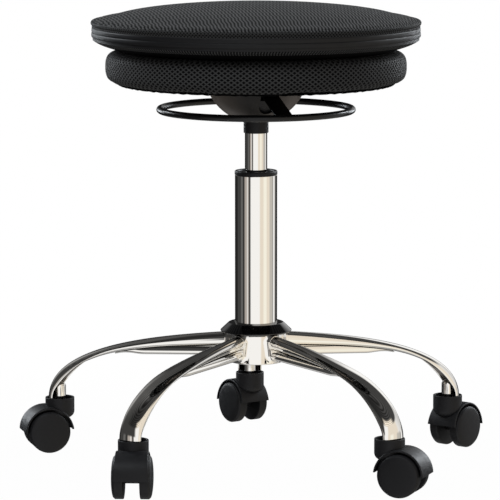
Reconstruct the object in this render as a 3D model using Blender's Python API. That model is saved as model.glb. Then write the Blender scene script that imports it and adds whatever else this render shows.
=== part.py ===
"""Balance stool: an air cushion on a padded seat, a gas lift with a ring release and a five-leg base.

The stool stands on z = 0 with the column on the Z axis. The front is -Y. Lengths are in metres.
"""

from math import asin, atan2, cos, pi, radians, sin, sqrt, tan

import bmesh
import bpy
from mathutils import Matrix, Vector

# Fits shared by all the pieces
SEAT_GAP = 0.0003
PIN_GAP = 0.00015
MERGE_DISTANCE = 0.000001
SHARP_ANGLE = radians(35)

# Casters
CASTER_COUNT = 5
CASTER_TURN = radians(31.7)
STEM_CIRCLE_RADIUS = 0.2477
WHEEL_DIAMETER = 0.050
WHEEL_GAUGE = 0.019
WHEEL_TREAD = 0.011
WHEEL_DOME = 0.0033
WHEEL_SHOULDER = 0.0012
WHEEL_FACE_SKIN = 0.003
AXLE_DIAMETER = 0.006
CASTER_TRAIL = 0.0163
HOOD_CLEARANCE = 0.0028
HOOD_WALL = 0.002
HOOD_WIDTH = 0.0415
HOOD_TOP_WIDTH = 0.0375
HOOD_REAR_LIP = radians(0.5)
HOOD_FRONT_LIP = radians(6.5)
AXLE_BOSS_WALL = 0.0042
WEB_SIDE_GAP = 0.0006
COLLAR_DIAMETER = 0.0352
COLLAR_RISE = 0.040
COLLAR_LENGTH = 0.0165
COLLAR_ROUNDING = 0.0085
CUP_WALL = 0.002
CUP_DEPTH = 0.009
STEM_DIAMETER = 0.011
STEM_REACH_DOWN = 0.016
STEM_REACH_UP = 0.014
STEM_TIP_CHAMFER = 0.001

# Base: hub, legs, braces and stem sockets
FIRST_LEG_ANGLE = radians(-34.2)
HUB_DIAMETER = 0.066
HUB_HEIGHT = 0.035
HUB_UNDERSIDE = 0.121
HUB_CHAMFER = 0.0015
LEG_TUBE = 0.016
LEG_TOP_DROP = 0.0006
LEG_ROOT_SLOPE = radians(-5.6)
LEG_ROOT_HANDLE = 0.100
LEG_FLAT_DEPTH = 0.0082
LEG_FLAT_WIDTH = 0.031
LEG_FLAT_AT = 0.58
LEG_FORM_FROM = 0.45
LEG_FORM_TO = 0.82
LEG_OPEN_FROM = 0.60
LEG_OPEN_TO = 0.85
LEG_WIDEN_FROM = 0.70
LEG_TRIM_FROM = 0.84
LEG_CHANNEL_DEPTH = 0.010
LEG_CHANNEL_WALL = 0.003
LEG_SEAM = 0.0004
LEG_LIP = 0.002
LEG_TIP_HANDLE = 0.0625
LEG_TIP_REACH = 0.0126
LEG_TIP_WIDTH = 0.0295
LEG_TIP_DEPTH = 0.0072
LEG_TIP_CLEARANCE = 0.0005
BRACE_TUBE = 0.0128
BRACE_FALL = radians(2.2)
BRACE_LENGTH = 0.143
BRACE_PINCH_LENGTH = 0.036
BRACE_TIP_DEPTH = 0.0016
BRACE_CHORD_LOW = radians(-72)
BRACE_CHORD_HIGH = radians(78.5)
SOCKET_TUBE_WALL = 0.0018
SOCKET_TUBE_RISE = 0.0165
SOCKET_TUBE_SLANT = radians(45)
SOCKET_TUBE_DIP = 0.0065

# Gas lift column
COLUMN_DIAMETER = 0.050
COLUMN_WALL = 0.002
COLUMN_TAPER = 0.001
COLUMN_RECESS = 0.001
COLUMN_ABOVE_HUB = 0.188
TRIM_DIAMETER = 0.085
TRIM_HEIGHT = 0.0126
TRIM_EDGE = 0.0022
TRIM_NECK_WALL = 0.0016
TRIM_BULGE = 0.0014
BUSH_LIP = 0.005
BUSH_LENGTH = 0.090
BUSH_RIM = 0.003
BUSH_DISH = 0.0022
END_CAP_THICKNESS = 0.005
BEARING_DIAMETER = 0.028
BEARING_HEIGHT = 0.007
ROD_DIAMETER = 0.010
ROD_SHOULDER = 0.003
ROD_SHOULDER_WALL = 0.003
PISTON_LENGTH = 0.012
GAS_TUBE_DIAMETER = 0.0265
GAS_TUBE_WALL = 0.002
GAS_TUBE_SHOWN = 0.0444
GAS_TAPER = 0.0008
GLAND_LENGTH = 0.012
VALVE_BLOCK = 0.035
PIN_DIAMETER = 0.008
PIN_SHOWN = 0.006
PIN_LENGTH = 0.0246
LIFT_UP = 0.080
LIFT_DOWN = 0.040
STOP_MARGIN = 0.004
GUIDE_CLEARANCE = 0.0002

# Seat mechanism and ring release
TAPER_SOCKET_DIAMETER = 0.0295
TAPER_SOCKET_LENGTH = 0.0446
TAPER_SOCKET_SHOWN = 0.0153
TAPER_FLANGE = 0.005
TAPER_FLANGE_HEIGHT = 0.004
DOME_FLOOR_DIAMETER = 0.040
DOME_FLANGE_DIAMETER = 0.164
DOME_RADIUS = 0.0616
DOME_DEPTH = 0.0444
DOME_WALL = 0.002
LEVER_SLOT_WIDTH = 0.022
LEVER_SLOT_FLOOR = 0.0102
RING_DIAMETER = 0.227
RING_ROD = 0.008
RING_DROP = 0.0323
LEVER_ANGLE = radians(17.4)
LEVER_WIDTH = 0.020
LEVER_THICKNESS = 0.003
LEVER_BEND_RADIUS = 0.062

# Seat and balance cushion
BOARD_DIAMETER = 0.300
BOARD_THICKNESS = 0.012
PAD_DIAMETER = 0.3538
PAD_THICKNESS = 0.0374
PAD_HEM_DROP = 0.001
PAD_TOP_ROUNDING = 0.014
PAD_FOOT_WIDTH = 0.016
PAD_FOOT_HEIGHT = 0.014
CUSHION_DIAMETER = 0.3872
CUSHION_REST_DIAMETER = 0.319
UNDERSIDE_HEIGHT = 0.0172
UNDERSIDE_WALL = 0.003
UNDERSIDE_ROUNDING = 0.0045
UNDERSIDE_LEAN = radians(-62)
BAND_HEIGHT = 0.0102
BAND_WALL = 0.004
BAND_INSET = 0.0012
BAND_RIDGE = 0.0008
TOP_EDGE_HEIGHT = 0.0077
TOP_CROWN = 0.0208
TOP_CROWN_POWER = 2.42
TOP_FOAM = 0.0065
TOP_EDGE_WALL = 0.0045
TOP_EDGE_ROUNDING = 0.003

# Facets of the round pieces and steps of the formed ones
CUSHION_FACETS = 40
COLUMN_FACETS = 30
SMALL_FACETS = 16
PIN_FACETS = 10
WHEEL_FACETS = 20
COLLAR_FACETS = 18
RING_FACETS = 48
ROD_FACETS = 8
LEG_STATIONS = 13
LEG_CROWN_STEPS = 6
LEG_HOLLOW_STEPS = 5
BRACE_STATIONS = 7
BRACE_STEPS = 8
SEARCH_ROUNDS = 40
HOOD_STEPS = 9
BOSS_STEPS = 4
WHEEL_FACE_STEPS = 2
TRIM_STEPS = 4
DOME_STEPS = 4
SLOT_FOOT_STEPS = 8
ROUNDING_STEPS = 3
PAD_TOP_STEPS = 4
CROWN_STEPS = 5

# Heights, stacked up from the floor
wheel_radius = WHEEL_DIAMETER / 2
collar_top = wheel_radius + COLLAR_RISE
cup_floor = collar_top - CUP_DEPTH
leg_tip_height = collar_top + LEG_TIP_CLEARANCE
hub_top = HUB_UNDERSIDE + HUB_HEIGHT
column_foot = HUB_UNDERSIDE + COLUMN_RECESS
column_top = hub_top + COLUMN_ABOVE_HUB
bush_top = column_top + SEAT_GAP + BUSH_LIP
taper_socket_foot = bush_top + GAS_TUBE_SHOWN
dome_floor = taper_socket_foot + TAPER_SOCKET_SHOWN
board_underside = dome_floor + DOME_DEPTH + SEAT_GAP
pad_foot = board_underside - PAD_HEM_DROP
pad_top = pad_foot + PAD_THICKNESS
cushion_foot = pad_top + SEAT_GAP
band_foot = cushion_foot + UNDERSIDE_HEIGHT + SEAT_GAP
top_foot = band_foot + BAND_HEIGHT + SEAT_GAP
rim_height = top_foot + TOP_EDGE_HEIGHT

# Materials: base colour, metallic and roughness of each finish
FINISHES = {
    "chrome": ((0.86, 0.84, 0.81), 1.0, 0.06),
    "steel": ((0.55, 0.54, 0.52), 1.0, 0.35),
    "dome_steel": ((0.16, 0.14, 0.13), 0.8, 0.38),
    "black_rod": ((0.02, 0.02, 0.022), 0.3, 0.28),
    "black_plastic": ((0.025, 0.025, 0.028), 0.0, 0.45),
    "gloss_black": ((0.008, 0.008, 0.009), 0.0, 0.08),
    "caster_nylon": ((0.018, 0.018, 0.02), 0.0, 0.5),
    "black_mesh": ((0.022, 0.022, 0.024), 0.0, 0.85),
    "satin_band": ((0.015, 0.015, 0.017), 0.0, 0.42),
    "bladder_vinyl": ((0.32, 0.34, 0.36), 0.0, 0.4),
    "plywood": ((0.50, 0.36, 0.22), 0.0, 0.65),
}


def clear_scene():
    for item in list(bpy.data.objects):
        bpy.data.objects.remove(item, do_unlink=True)


def finish_material(finish):
    """Material of one finish, made the first time it is asked for."""
    material = bpy.data.materials.get(finish)
    if material is None:
        colour, metallic, roughness = FINISHES[finish]
        material = bpy.data.materials.new(finish)
        material.use_nodes = True
        shader = material.node_tree.nodes["Principled BSDF"]
        shader.inputs["Base Color"].default_value = (*colour, 1.0)
        shader.inputs["Metallic"].default_value = metallic
        shader.inputs["Roughness"].default_value = roughness
        material.diffuse_color = (*colour, 1.0)
    return material


def object_from(name, mesh, finish):
    """Closed object from a bmesh, with its faces turned outwards and its round faces smooth."""
    bmesh.ops.remove_doubles(mesh, verts=mesh.verts, dist=MERGE_DISTANCE)
    bmesh.ops.recalc_face_normals(mesh, faces=mesh.faces)
    data = bpy.data.meshes.new(name)
    mesh.to_mesh(data)
    mesh.free()
    return place(name, data, finish)


def place(name, data, finish):
    if not data.materials:
        data.materials.append(finish_material(finish))
    data.shade_smooth()
    data.set_sharp_from_angle(angle=SHARP_ANGLE)
    item = bpy.data.objects.new(name, data)
    bpy.context.collection.objects.link(item)
    return item


def empty(name, location, turn=0.0):
    """Empty that carries the pieces of one moving group, on the group's axis."""
    item = bpy.data.objects.new(name, None)
    item.location = location
    item.rotation_euler = (0, 0, turn)
    bpy.context.collection.objects.link(item)
    return item


def arc(centre, radii, start, end, steps):
    """Points of an elliptic arc in a profile, from one angle to another."""
    angles = [start + (end - start) * i / steps for i in range(steps + 1)]
    return [(centre[0] + radii[0] * cos(a), centre[1] + radii[1] * sin(a)) for a in angles]


def turned(name, profile, facets, finish, turn=0.0):
    """Solid of revolution about Z of a closed (radius, height) profile."""
    mesh = bmesh.new()
    corners = [mesh.verts.new((r * cos(turn), r * sin(turn), z)) for r, z in profile]
    edges = []
    for first, second in zip(corners, corners[1:] + corners[:1]):
        on_axis = first.co.xy.length < MERGE_DISTANCE and second.co.xy.length < MERGE_DISTANCE
        if not on_axis:
            edges.append(mesh.edges.new((first, second)))
    spun = corners + edges
    upright = (0, 0, 1)
    bmesh.ops.spin(mesh, geom=spun, cent=(0, 0, 0), axis=upright, angle=2 * pi, steps=facets, use_merge=True)
    bmesh.ops.remove_doubles(mesh, verts=mesh.verts, dist=MERGE_DISTANCE)
    bmesh.ops.dissolve_degenerate(mesh, edges=mesh.edges, dist=MERGE_DISTANCE)
    return object_from(name, mesh, finish)


def skinned(name, rings, finish):
    """Solid through a row of rings with the same number of points, closed by a flat face at each end."""
    mesh = bmesh.new()
    rows = [[mesh.verts.new(point) for point in ring] for ring in rings]
    for row, next_row in zip(rows, rows[1:]):
        for i in range(len(row)):
            j = (i + 1) % len(row)
            mesh.faces.new((row[i], row[j], next_row[j], next_row[i]))
    mesh.faces.new(rows[0])
    mesh.faces.new(rows[-1])
    return object_from(name, mesh, finish)


def slab(name, outline, width, finish):
    """Flat outline in (x, z), extruded by its width along Y about the middle."""
    rings = [[(x, y, z) for x, z in outline] for y in (-width / 2, width / 2)]
    return skinned(name, rings, finish)


def combine(target, tool, operation):
    """Boolean of a target with a tool. The tool stays out of the model."""
    modifier = target.modifiers.new(operation.lower(), "BOOLEAN")
    modifier.operation = operation
    modifier.solver = "EXACT"
    modifier.object = tool
    tool.hide_render = True
    tool.display_type = "WIRE"


def settle(item, tools):
    """Make an object's Booleans its own mesh and remove their tools."""
    bpy.context.view_layer.update()
    graph = bpy.context.evaluated_depsgraph_get()
    data = bpy.data.meshes.new_from_object(item.evaluated_get(graph))
    item.modifiers.clear()
    item.data = data
    data.shade_smooth()
    data.set_sharp_from_angle(angle=SHARP_ANGLE)
    for tool in tools:
        bpy.data.objects.remove(tool, do_unlink=True)


def copy_of(original, name):
    item = bpy.data.objects.new(name, original.data)
    bpy.context.collection.objects.link(item)
    return item


def mix(low, high, share):
    return low + (high - low) * share


def ease(start, end, value):
    """Smooth step from 0 at start to 1 at end."""
    share = min(max((value - start) / (end - start), 0.0), 1.0)
    return share * share * (3 - 2 * share)


def leg_angle(index):
    """Turn about Z that takes +X to a leg, counted from the front leg on the left."""
    return FIRST_LEG_ANGLE + index * 2 * pi / CASTER_COUNT - pi / 2


def column_radius(height):
    """Outside radius of the column, which tapers where the hub grips it."""
    share = min(max((height - column_foot) / (hub_top - column_foot), 0.0), 1.0)
    return COLUMN_DIAMETER / 2 - COLUMN_TAPER * (1 - share)


def leg_line(t):
    """Point and outward normal, in (radius, height), of the cubic curve along the top of a leg."""
    root = Vector((HUB_DIAMETER / 2, hub_top - LEG_TOP_DROP))
    tip = Vector((STEM_CIRCLE_RADIUS + LEG_TIP_REACH, leg_tip_height))
    root_handle = root + LEG_ROOT_HANDLE * Vector((cos(LEG_ROOT_SLOPE), sin(LEG_ROOT_SLOPE)))
    tip_handle = tip + Vector((0, LEG_TIP_HANDLE))
    s = 1 - t
    point = s**3 * root + 3 * s * s * t * root_handle + 3 * s * t * t * tip_handle + t**3 * tip
    along = s * s * (root_handle - root) + 2 * s * t * (tip_handle - root_handle)
    along += t * t * (tip - tip_handle)
    along.normalize()
    return point, Vector((-along.y, along.x))


def leg_section(t):
    """Half width, depth of the side edges, depth of the underside and half width of the hollow at t.

    The section is a round tube at the hub, a flat tube at the bend and a channel open below at the tip.
    """
    flat = ease(0.0, LEG_FLAT_AT, t)
    form = ease(LEG_FORM_FROM, LEG_FORM_TO, t)
    opened = ease(LEG_OPEN_FROM, LEG_OPEN_TO, t)
    tube_depth = mix(LEG_TUBE, LEG_FLAT_DEPTH, flat)
    tube_width = mix(LEG_TUBE, LEG_FLAT_WIDTH, flat)
    half_width = mix(tube_width, LEG_TIP_WIDTH, ease(LEG_WIDEN_FROM, 1.0, t)) / 2
    edge = mix(tube_depth / 2, LEG_CHANNEL_DEPTH, form)
    edge = mix(edge, LEG_TIP_DEPTH, ease(LEG_TRIM_FROM, 1.0, t))
    underside = mix(tube_depth, LEG_CHANNEL_WALL, opened)
    return half_width, edge, underside, half_width - mix(LEG_SEAM, LEG_LIP, opened)


def leg_ring(t, grow=0.0, fill=0.0):
    """Section of the leg at t, square to its top line.

    Grow moves every wall out. Fill moves the crown out further, so that a cutter reaches past the leg.
    """
    point, normal = leg_line(t)
    half_width, edge, underside, hollow = leg_section(t)
    ring = []
    for i in range(LEG_CROWN_STEPS + 1):
        a = pi * i / LEG_CROWN_STEPS
        level = point - normal * (edge + grow - (edge + 2 * grow + fill) * sin(a))
        ring.append((level.x, (half_width + grow) * cos(a), level.y))
    for i in range(LEG_HOLLOW_STEPS + 1):
        a = pi * i / LEG_HOLLOW_STEPS
        level = point - normal * (edge + grow + (underside - edge) * sin(a))
        ring.append((level.x, (grow - hollow) * cos(a), level.y))
    return ring


def root_start():
    """Start on the leg's top line that lies inside the hub, so that the tube can be coped to it."""
    return -LEG_TUBE / (3 * LEG_ROOT_HANDLE)


def leg_underside(t):
    """Lowest point of the leg's section at t, in (radius, height)."""
    point, normal = leg_line(t)
    return point - normal * leg_section(t)[2]


def leg_solid(name, grow=0.0, fill=0.0):
    """Leg from inside the hub to the tip."""
    shares = [i / LEG_STATIONS for i in range(LEG_STATIONS + 1)]
    rings = [leg_ring(mix(root_start(), 1.0, share), grow, fill) for share in shares]
    return skinned(name, rings, "chrome")


def hub_cutter():
    """Cylinder round the hub that copes the ends of the tubes to it."""
    radius = HUB_DIAMETER / 2 + SEAT_GAP
    profile = [(0, HUB_UNDERSIDE - HUB_HEIGHT), (radius, HUB_UNDERSIDE - HUB_HEIGHT)]
    profile += [(radius, hub_top + HUB_HEIGHT), (0, hub_top + HUB_HEIGHT)]
    return turned("hub_cutter", profile, COLUMN_FACETS, "steel")


def brace_ring(t, tip_radius):
    """Section of the brace where the leg is at t: a round tube cut flat under the leg."""
    limit = leg_underside(t)
    half = BRACE_TUBE / 2
    root_top = hub_top - LEG_TOP_DROP - LEG_TUBE
    run = limit.x - HUB_DIAMETER / 2
    foot = root_top - BRACE_TUBE - run * tan(BRACE_FALL)
    tip_limit = limit.y - SEAT_GAP - BRACE_TIP_DEPTH
    foot = mix(foot, tip_limit, ease(tip_radius - BRACE_PINCH_LENGTH, tip_radius, limit.x))
    middle = foot + half
    cut = (limit.y - SEAT_GAP - middle) / half
    chord = asin(min(max(cut, -1), 1))
    chord = min(max(chord, BRACE_CHORD_LOW), BRACE_CHORD_HIGH)
    ring = []
    for i in range(BRACE_STEPS + 1):
        a = mix(chord, -pi - chord, i / BRACE_STEPS)
        ring.append((limit.x, half * cos(a), middle + half * sin(a)))
    return ring


def brace_solid(name):
    """Brace under a leg, from inside the hub to its pinched end."""
    tip_radius = HUB_DIAMETER / 2 + BRACE_LENGTH
    low, high = 0.0, 1.0
    for _ in range(SEARCH_ROUNDS):
        middle = (low + high) / 2
        if leg_underside(middle).x < tip_radius:
            low = middle
        else:
            high = middle
    shares = [i / BRACE_STATIONS for i in range(BRACE_STATIONS + 1)]
    rings = [brace_ring(mix(root_start(), low, share), tip_radius) for share in shares]
    return skinned(name, rings, "chrome")


def make_legs():
    """Five legs with their braces and stem sockets, each set a turn of the first."""
    cutter = hub_cutter()
    leg = leg_solid("leg_1")
    combine(leg, cutter, "DIFFERENCE")
    settle(leg, [])
    brace = brace_solid("brace_1")
    combine(brace, cutter, "DIFFERENCE")
    settle(brace, [cutter])
    socket = stem_socket("stem_socket_1")
    for index in range(CASTER_COUNT):
        turn = leg_angle(index)
        number = index + 1
        pieces = [leg, brace, socket]
        if index:
            pieces = [copy_of(p, p.name.replace("_1", f"_{number}")) for p in pieces]
        for piece in pieces:
            piece.rotation_euler = (0, 0, turn)


def stem_socket(name):
    """Tube that takes a caster stem, cut on a slant above and coped to the inside of the leg's channel."""
    bore = STEM_DIAMETER / 2 + PIN_GAP
    wall = bore + SOCKET_TUBE_WALL
    foot = collar_top - SOCKET_TUBE_DIP
    top = collar_top + SOCKET_TUBE_RISE
    profile = [(bore, foot), (wall, foot), (wall, top), (bore, top)]
    socket = turned(name, profile, SMALL_FACETS, "chrome")
    for corner in socket.data.vertices:
        if corner.co.z > collar_top:
            corner.co.z += corner.co.x * tan(SOCKET_TUBE_SLANT)
    socket.data.transform(Matrix.Translation((STEM_CIRCLE_RADIUS, 0, 0)))
    tool = leg_solid("leg_clearance", SEAT_GAP, LEG_TIP_WIDTH)
    combine(socket, tool, "DIFFERENCE")
    settle(socket, [tool])
    return socket


def make_hub():
    radius = HUB_DIAMETER / 2
    profile = [
        (column_radius(HUB_UNDERSIDE) + SEAT_GAP, HUB_UNDERSIDE),
        (radius - HUB_CHAMFER, HUB_UNDERSIDE),
        (radius, HUB_UNDERSIDE + HUB_CHAMFER),
        (radius, hub_top - HUB_CHAMFER),
        (radius - HUB_CHAMFER, hub_top),
        (column_radius(hub_top) + SEAT_GAP, hub_top),
    ]
    turned("hub", profile, COLUMN_FACETS, "chrome", turn=leg_angle(0))


def caster_hood():
    """Hood of a caster: an arch over the wheels, a web with the axle boss, and the cup for the stem."""
    axle = (CASTER_TRAIL, wheel_radius)
    inner = wheel_radius + HOOD_CLEARANCE
    outer = inner + HOOD_WALL
    boss = AXLE_DIAMETER / 2 + AXLE_BOSS_WALL
    outline = arc(axle, (outer, outer), HOOD_REAR_LIP, pi - HOOD_FRONT_LIP, HOOD_STEPS)
    outline += arc(axle, (boss, boss), pi, 2 * pi, BOSS_STEPS)
    hood = slab("caster_hood_1", outline, HOOD_WIDTH, "caster_nylon")
    for corner in hood.data.vertices:
        corner.co.y *= mix(1.0, HOOD_TOP_WIDTH / HOOD_WIDTH, (corner.co.z - wheel_radius) / outer)
    collar = hood_collar()
    combine(hood, collar, "UNION")
    web = WHEEL_GAUGE / 2 - WEB_SIDE_GAP
    well = arc(axle, (inner, inner), 0, 2 * pi, WHEEL_FACETS)[:-1]
    wells = [slab(f"wheel_well_{side}", well, HOOD_WIDTH, "steel") for side in ("left", "right")]
    wells[0].location.y = web + HOOD_WIDTH / 2
    wells[1].location.y = -web - HOOD_WIDTH / 2
    for tool in wells:
        combine(hood, tool, "DIFFERENCE")
    # The flats of the bore, and not its corners, clear the stem, because the hood turns on it.
    bore = (STEM_DIAMETER / 2 + PIN_GAP) / cos(pi / PIN_FACETS)
    bore_floor = cup_floor - STEM_REACH_DOWN - SEAT_GAP
    bore_outline = [(0, bore_floor), (bore, bore_floor), (bore, collar_top), (0, collar_top)]
    stem_bore = turned("stem_bore", bore_outline, PIN_FACETS, "steel")
    combine(hood, stem_bore, "DIFFERENCE")
    pin = AXLE_DIAMETER / 2 + PIN_GAP
    bore_outline = [(0, -HOOD_WIDTH), (pin, -HOOD_WIDTH), (pin, HOOD_WIDTH), (0, HOOD_WIDTH)]
    axle_bore = turned("axle_bore", bore_outline, PIN_FACETS, "steel")
    axle_bore.rotation_euler = (pi / 2, 0, 0)
    axle_bore.location = (CASTER_TRAIL, 0, wheel_radius)
    combine(hood, axle_bore, "DIFFERENCE")
    settle(hood, [collar, stem_bore, axle_bore] + wells)
    return hood


def hood_collar():
    """Round collar of the hood, rounded below and open above as a cup."""
    rim = COLLAR_DIAMETER / 2
    shoulder = collar_top - COLLAR_LENGTH
    middle = (rim - COLLAR_ROUNDING, shoulder)
    profile = [(0, shoulder - COLLAR_ROUNDING)]
    profile += arc(middle, (COLLAR_ROUNDING, COLLAR_ROUNDING), -pi / 2, 0, ROUNDING_STEPS)
    cup = rim - CUP_WALL
    profile += [(rim, collar_top), (cup, collar_top), (cup, cup_floor), (0, cup_floor)]
    return turned("collar", profile, COLLAR_FACETS, "caster_nylon")


def caster_wheel(name):
    """Wheel about its own axle: a flat tread, a domed outer face and a blind bore for the axle."""
    tread = wheel_radius / cos(pi / WHEEL_FACETS)
    inside = WHEEL_GAUGE / 2
    outside = inside + WHEEL_TREAD
    bore = AXLE_DIAMETER / 2 + PIN_GAP
    bore_end = outside + WHEEL_DOME - WHEEL_FACE_SKIN
    face_radius = tread - WHEEL_SHOULDER
    profile = [(bore, inside), (tread, inside), (tread, outside - WHEEL_SHOULDER)]
    profile += arc((0, outside), (face_radius, WHEEL_DOME), 0, pi / 2, WHEEL_FACE_STEPS)
    profile += [(0, bore_end), (bore, bore_end)]
    wheel = turned(name, profile, WHEEL_FACETS, "caster_nylon", turn=pi / WHEEL_FACETS)
    wheel.data.transform(Matrix.Rotation(-pi / 2, 4, "X"))
    return wheel


def caster_axle():
    """Axle pin, as long as both wheel bores are deep."""
    reach = WHEEL_GAUGE / 2 + WHEEL_TREAD + WHEEL_DOME - WHEEL_FACE_SKIN - SEAT_GAP
    radius = AXLE_DIAMETER / 2
    profile = [(0, -reach), (radius, -reach), (radius, reach), (0, reach)]
    axle = turned("caster_axle_1", profile, PIN_FACETS, "steel")
    axle.data.transform(Matrix.Rotation(pi / 2, 4, "X"))
    return axle


def caster_stem():
    """Stem pin that the hood swivels on, held in the stem socket."""
    radius = STEM_DIAMETER / 2
    foot = cup_floor - STEM_REACH_DOWN
    top = collar_top + STEM_REACH_UP
    profile = [(0, foot), (radius - STEM_TIP_CHAMFER, foot), (radius, foot + STEM_TIP_CHAMFER)]
    profile += [(radius, top - STEM_TIP_CHAMFER), (radius - STEM_TIP_CHAMFER, top), (0, top)]
    return turned("caster_stem_1", profile, PIN_FACETS, "steel")


def make_casters():
    """Five casters, all trailing the same way from their legs."""
    hood = caster_hood()
    wheel_left = caster_wheel("wheel_left_1")
    wheel_right = copy_of(wheel_left, "wheel_right_1")
    axle = caster_axle()
    stem = caster_stem()
    for index in range(CASTER_COUNT):
        number = index + 1
        direction = leg_angle(index)
        foot = (STEM_CIRCLE_RADIUS * cos(direction), STEM_CIRCLE_RADIUS * sin(direction), 0)
        swivel = empty(f"caster_swivel_{number}", foot, direction + CASTER_TURN)
        pieces = [hood, axle, wheel_left, wheel_right, stem]
        if index:
            pieces = [copy_of(p, p.name.replace("_1", f"_{number}")) for p in pieces]
        for piece in pieces:
            piece.parent = swivel
        for piece in pieces[1:4]:
            piece.location = (CASTER_TRAIL, 0, wheel_radius)
        pieces[3].rotation_euler = (0, 0, pi)


def make_column():
    """Outer column with its bush, trim collar, end cap and bearing."""
    inside = COLUMN_DIAMETER / 2 - COLUMN_WALL
    foot_wall = COLUMN_DIAMETER / 2 - COLUMN_TAPER
    profile = [(inside, column_foot), (foot_wall, column_foot), (column_radius(hub_top), hub_top)]
    profile += [(COLUMN_DIAMETER / 2, column_top), (inside, column_top)]
    turned("column_tube", profile, COLUMN_FACETS, "chrome", turn=leg_angle(0))

    guide = GAS_TUBE_DIAMETER / 2 + GUIDE_CLEARANCE
    rim = COLUMN_DIAMETER / 2 + SEAT_GAP
    sleeve = inside - SEAT_GAP
    lip = column_top + SEAT_GAP
    dish = bush_top - BUSH_DISH
    sleeve_foot = column_top - BUSH_LENGTH
    profile = [(guide, sleeve_foot), (sleeve, sleeve_foot), (sleeve, lip), (rim, lip)]
    rounding = BUSH_RIM / 2
    profile += arc((rim - rounding, bush_top - rounding), (rounding, rounding), 0, pi, ROUNDING_STEPS)
    profile += [(rim - BUSH_RIM, dish), (guide, dish)]
    turned("guide_bush", profile, COLUMN_FACETS, "black_plastic", turn=leg_angle(0))

    seat = hub_top + SEAT_GAP
    wide = TRIM_DIAMETER / 2
    grip = COLUMN_DIAMETER / 2 + SEAT_GAP
    neck = grip + TRIM_NECK_WALL
    trim_top = hub_top + TRIM_HEIGHT
    profile = [(grip, seat), (HUB_DIAMETER / 2, seat)]
    profile += [(wide - TRIM_EDGE / 2, seat + TRIM_EDGE / 2), (wide, seat + TRIM_EDGE)]
    for i in range(1, TRIM_STEPS):
        share = i / TRIM_STEPS
        bulge = 4 * TRIM_BULGE * share * (1 - share)
        profile += [(mix(wide, neck, share), mix(seat + TRIM_EDGE, trim_top, share) + bulge)]
    profile += [(neck, trim_top), (grip, trim_top)]
    turned("hub_trim_collar", profile, COLUMN_FACETS, "gloss_black", turn=leg_angle(0))

    rod_hole = ROD_DIAMETER / 2 + SEAT_GAP
    cap_edge = inside - SEAT_GAP
    cap_top = column_foot + END_CAP_THICKNESS
    profile = [(rod_hole, column_foot), (cap_edge, column_foot), (cap_edge, cap_top), (rod_hole, cap_top)]
    turned("column_end_cap", profile, COLUMN_FACETS, "black_plastic", turn=leg_angle(0))

    bearing_foot = cap_top + SEAT_GAP
    bearing_top = bearing_foot + BEARING_HEIGHT
    edge = BEARING_DIAMETER / 2
    profile = [(rod_hole, bearing_foot), (edge, bearing_foot), (edge, bearing_top), (rod_hole, bearing_top)]
    turned("thrust_bearing", profile, SMALL_FACETS, "steel")


def make_gas_spring():
    """Rod and piston, which stay in the column, and the tube that rises on them, with its release pin."""
    cap_top = column_foot + END_CAP_THICKNESS
    shoulder = cap_top + 2 * SEAT_GAP + BEARING_HEIGHT
    shoulder_top = shoulder + ROD_SHOULDER
    tube_foot = shoulder_top + STOP_MARGIN + LIFT_DOWN
    gland_top = tube_foot + GLAND_LENGTH
    piston_foot = gland_top + LIFT_UP + STOP_MARGIN
    rod = ROD_DIAMETER / 2
    bore = GAS_TUBE_DIAMETER / 2 - GAS_TUBE_WALL
    piston = bore - GUIDE_CLEARANCE
    shoulder_edge = rod + ROD_SHOULDER_WALL
    profile = [(0, column_foot - SEAT_GAP), (rod, column_foot - SEAT_GAP), (rod, shoulder)]
    profile += [(shoulder_edge, shoulder), (shoulder_edge, shoulder_top), (rod, shoulder_top)]
    profile += [(rod, piston_foot), (piston, piston_foot), (piston, piston_foot + PISTON_LENGTH)]
    profile += [(0, piston_foot + PISTON_LENGTH)]
    turned("piston_rod", profile, SMALL_FACETS, "steel")

    top = taper_socket_foot + TAPER_SOCKET_LENGTH
    chamber_top = top - VALVE_BLOCK
    tube = GAS_TUBE_DIAMETER / 2
    gland = rod + GUIDE_CLEARANCE
    pin = PIN_DIAMETER / 2
    pin_top = top + PIN_SHOWN
    pin_foot = pin_top - PIN_LENGTH
    pin_floor = pin_foot - lever_press() - SEAT_GAP
    profile = [(gland, tube_foot), (tube, tube_foot), (tube, taper_socket_foot), (tube - GAS_TAPER, top)]
    profile += [(pin + GUIDE_CLEARANCE, top), (pin + GUIDE_CLEARANCE, pin_floor), (0, pin_floor)]
    profile += [(0, chamber_top), (bore, chamber_top), (bore, gland_top), (gland, gland_top)]
    turned("gas_cylinder", profile, COLUMN_FACETS, "chrome")

    profile = [(0, pin_foot), (pin, pin_foot), (pin, pin_top), (0, pin_top)]
    turned("release_pin", profile, SMALL_FACETS, "steel")


def lever_press():
    """How far the lever pushes the release pin down."""
    return PIN_SHOWN / 2


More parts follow.
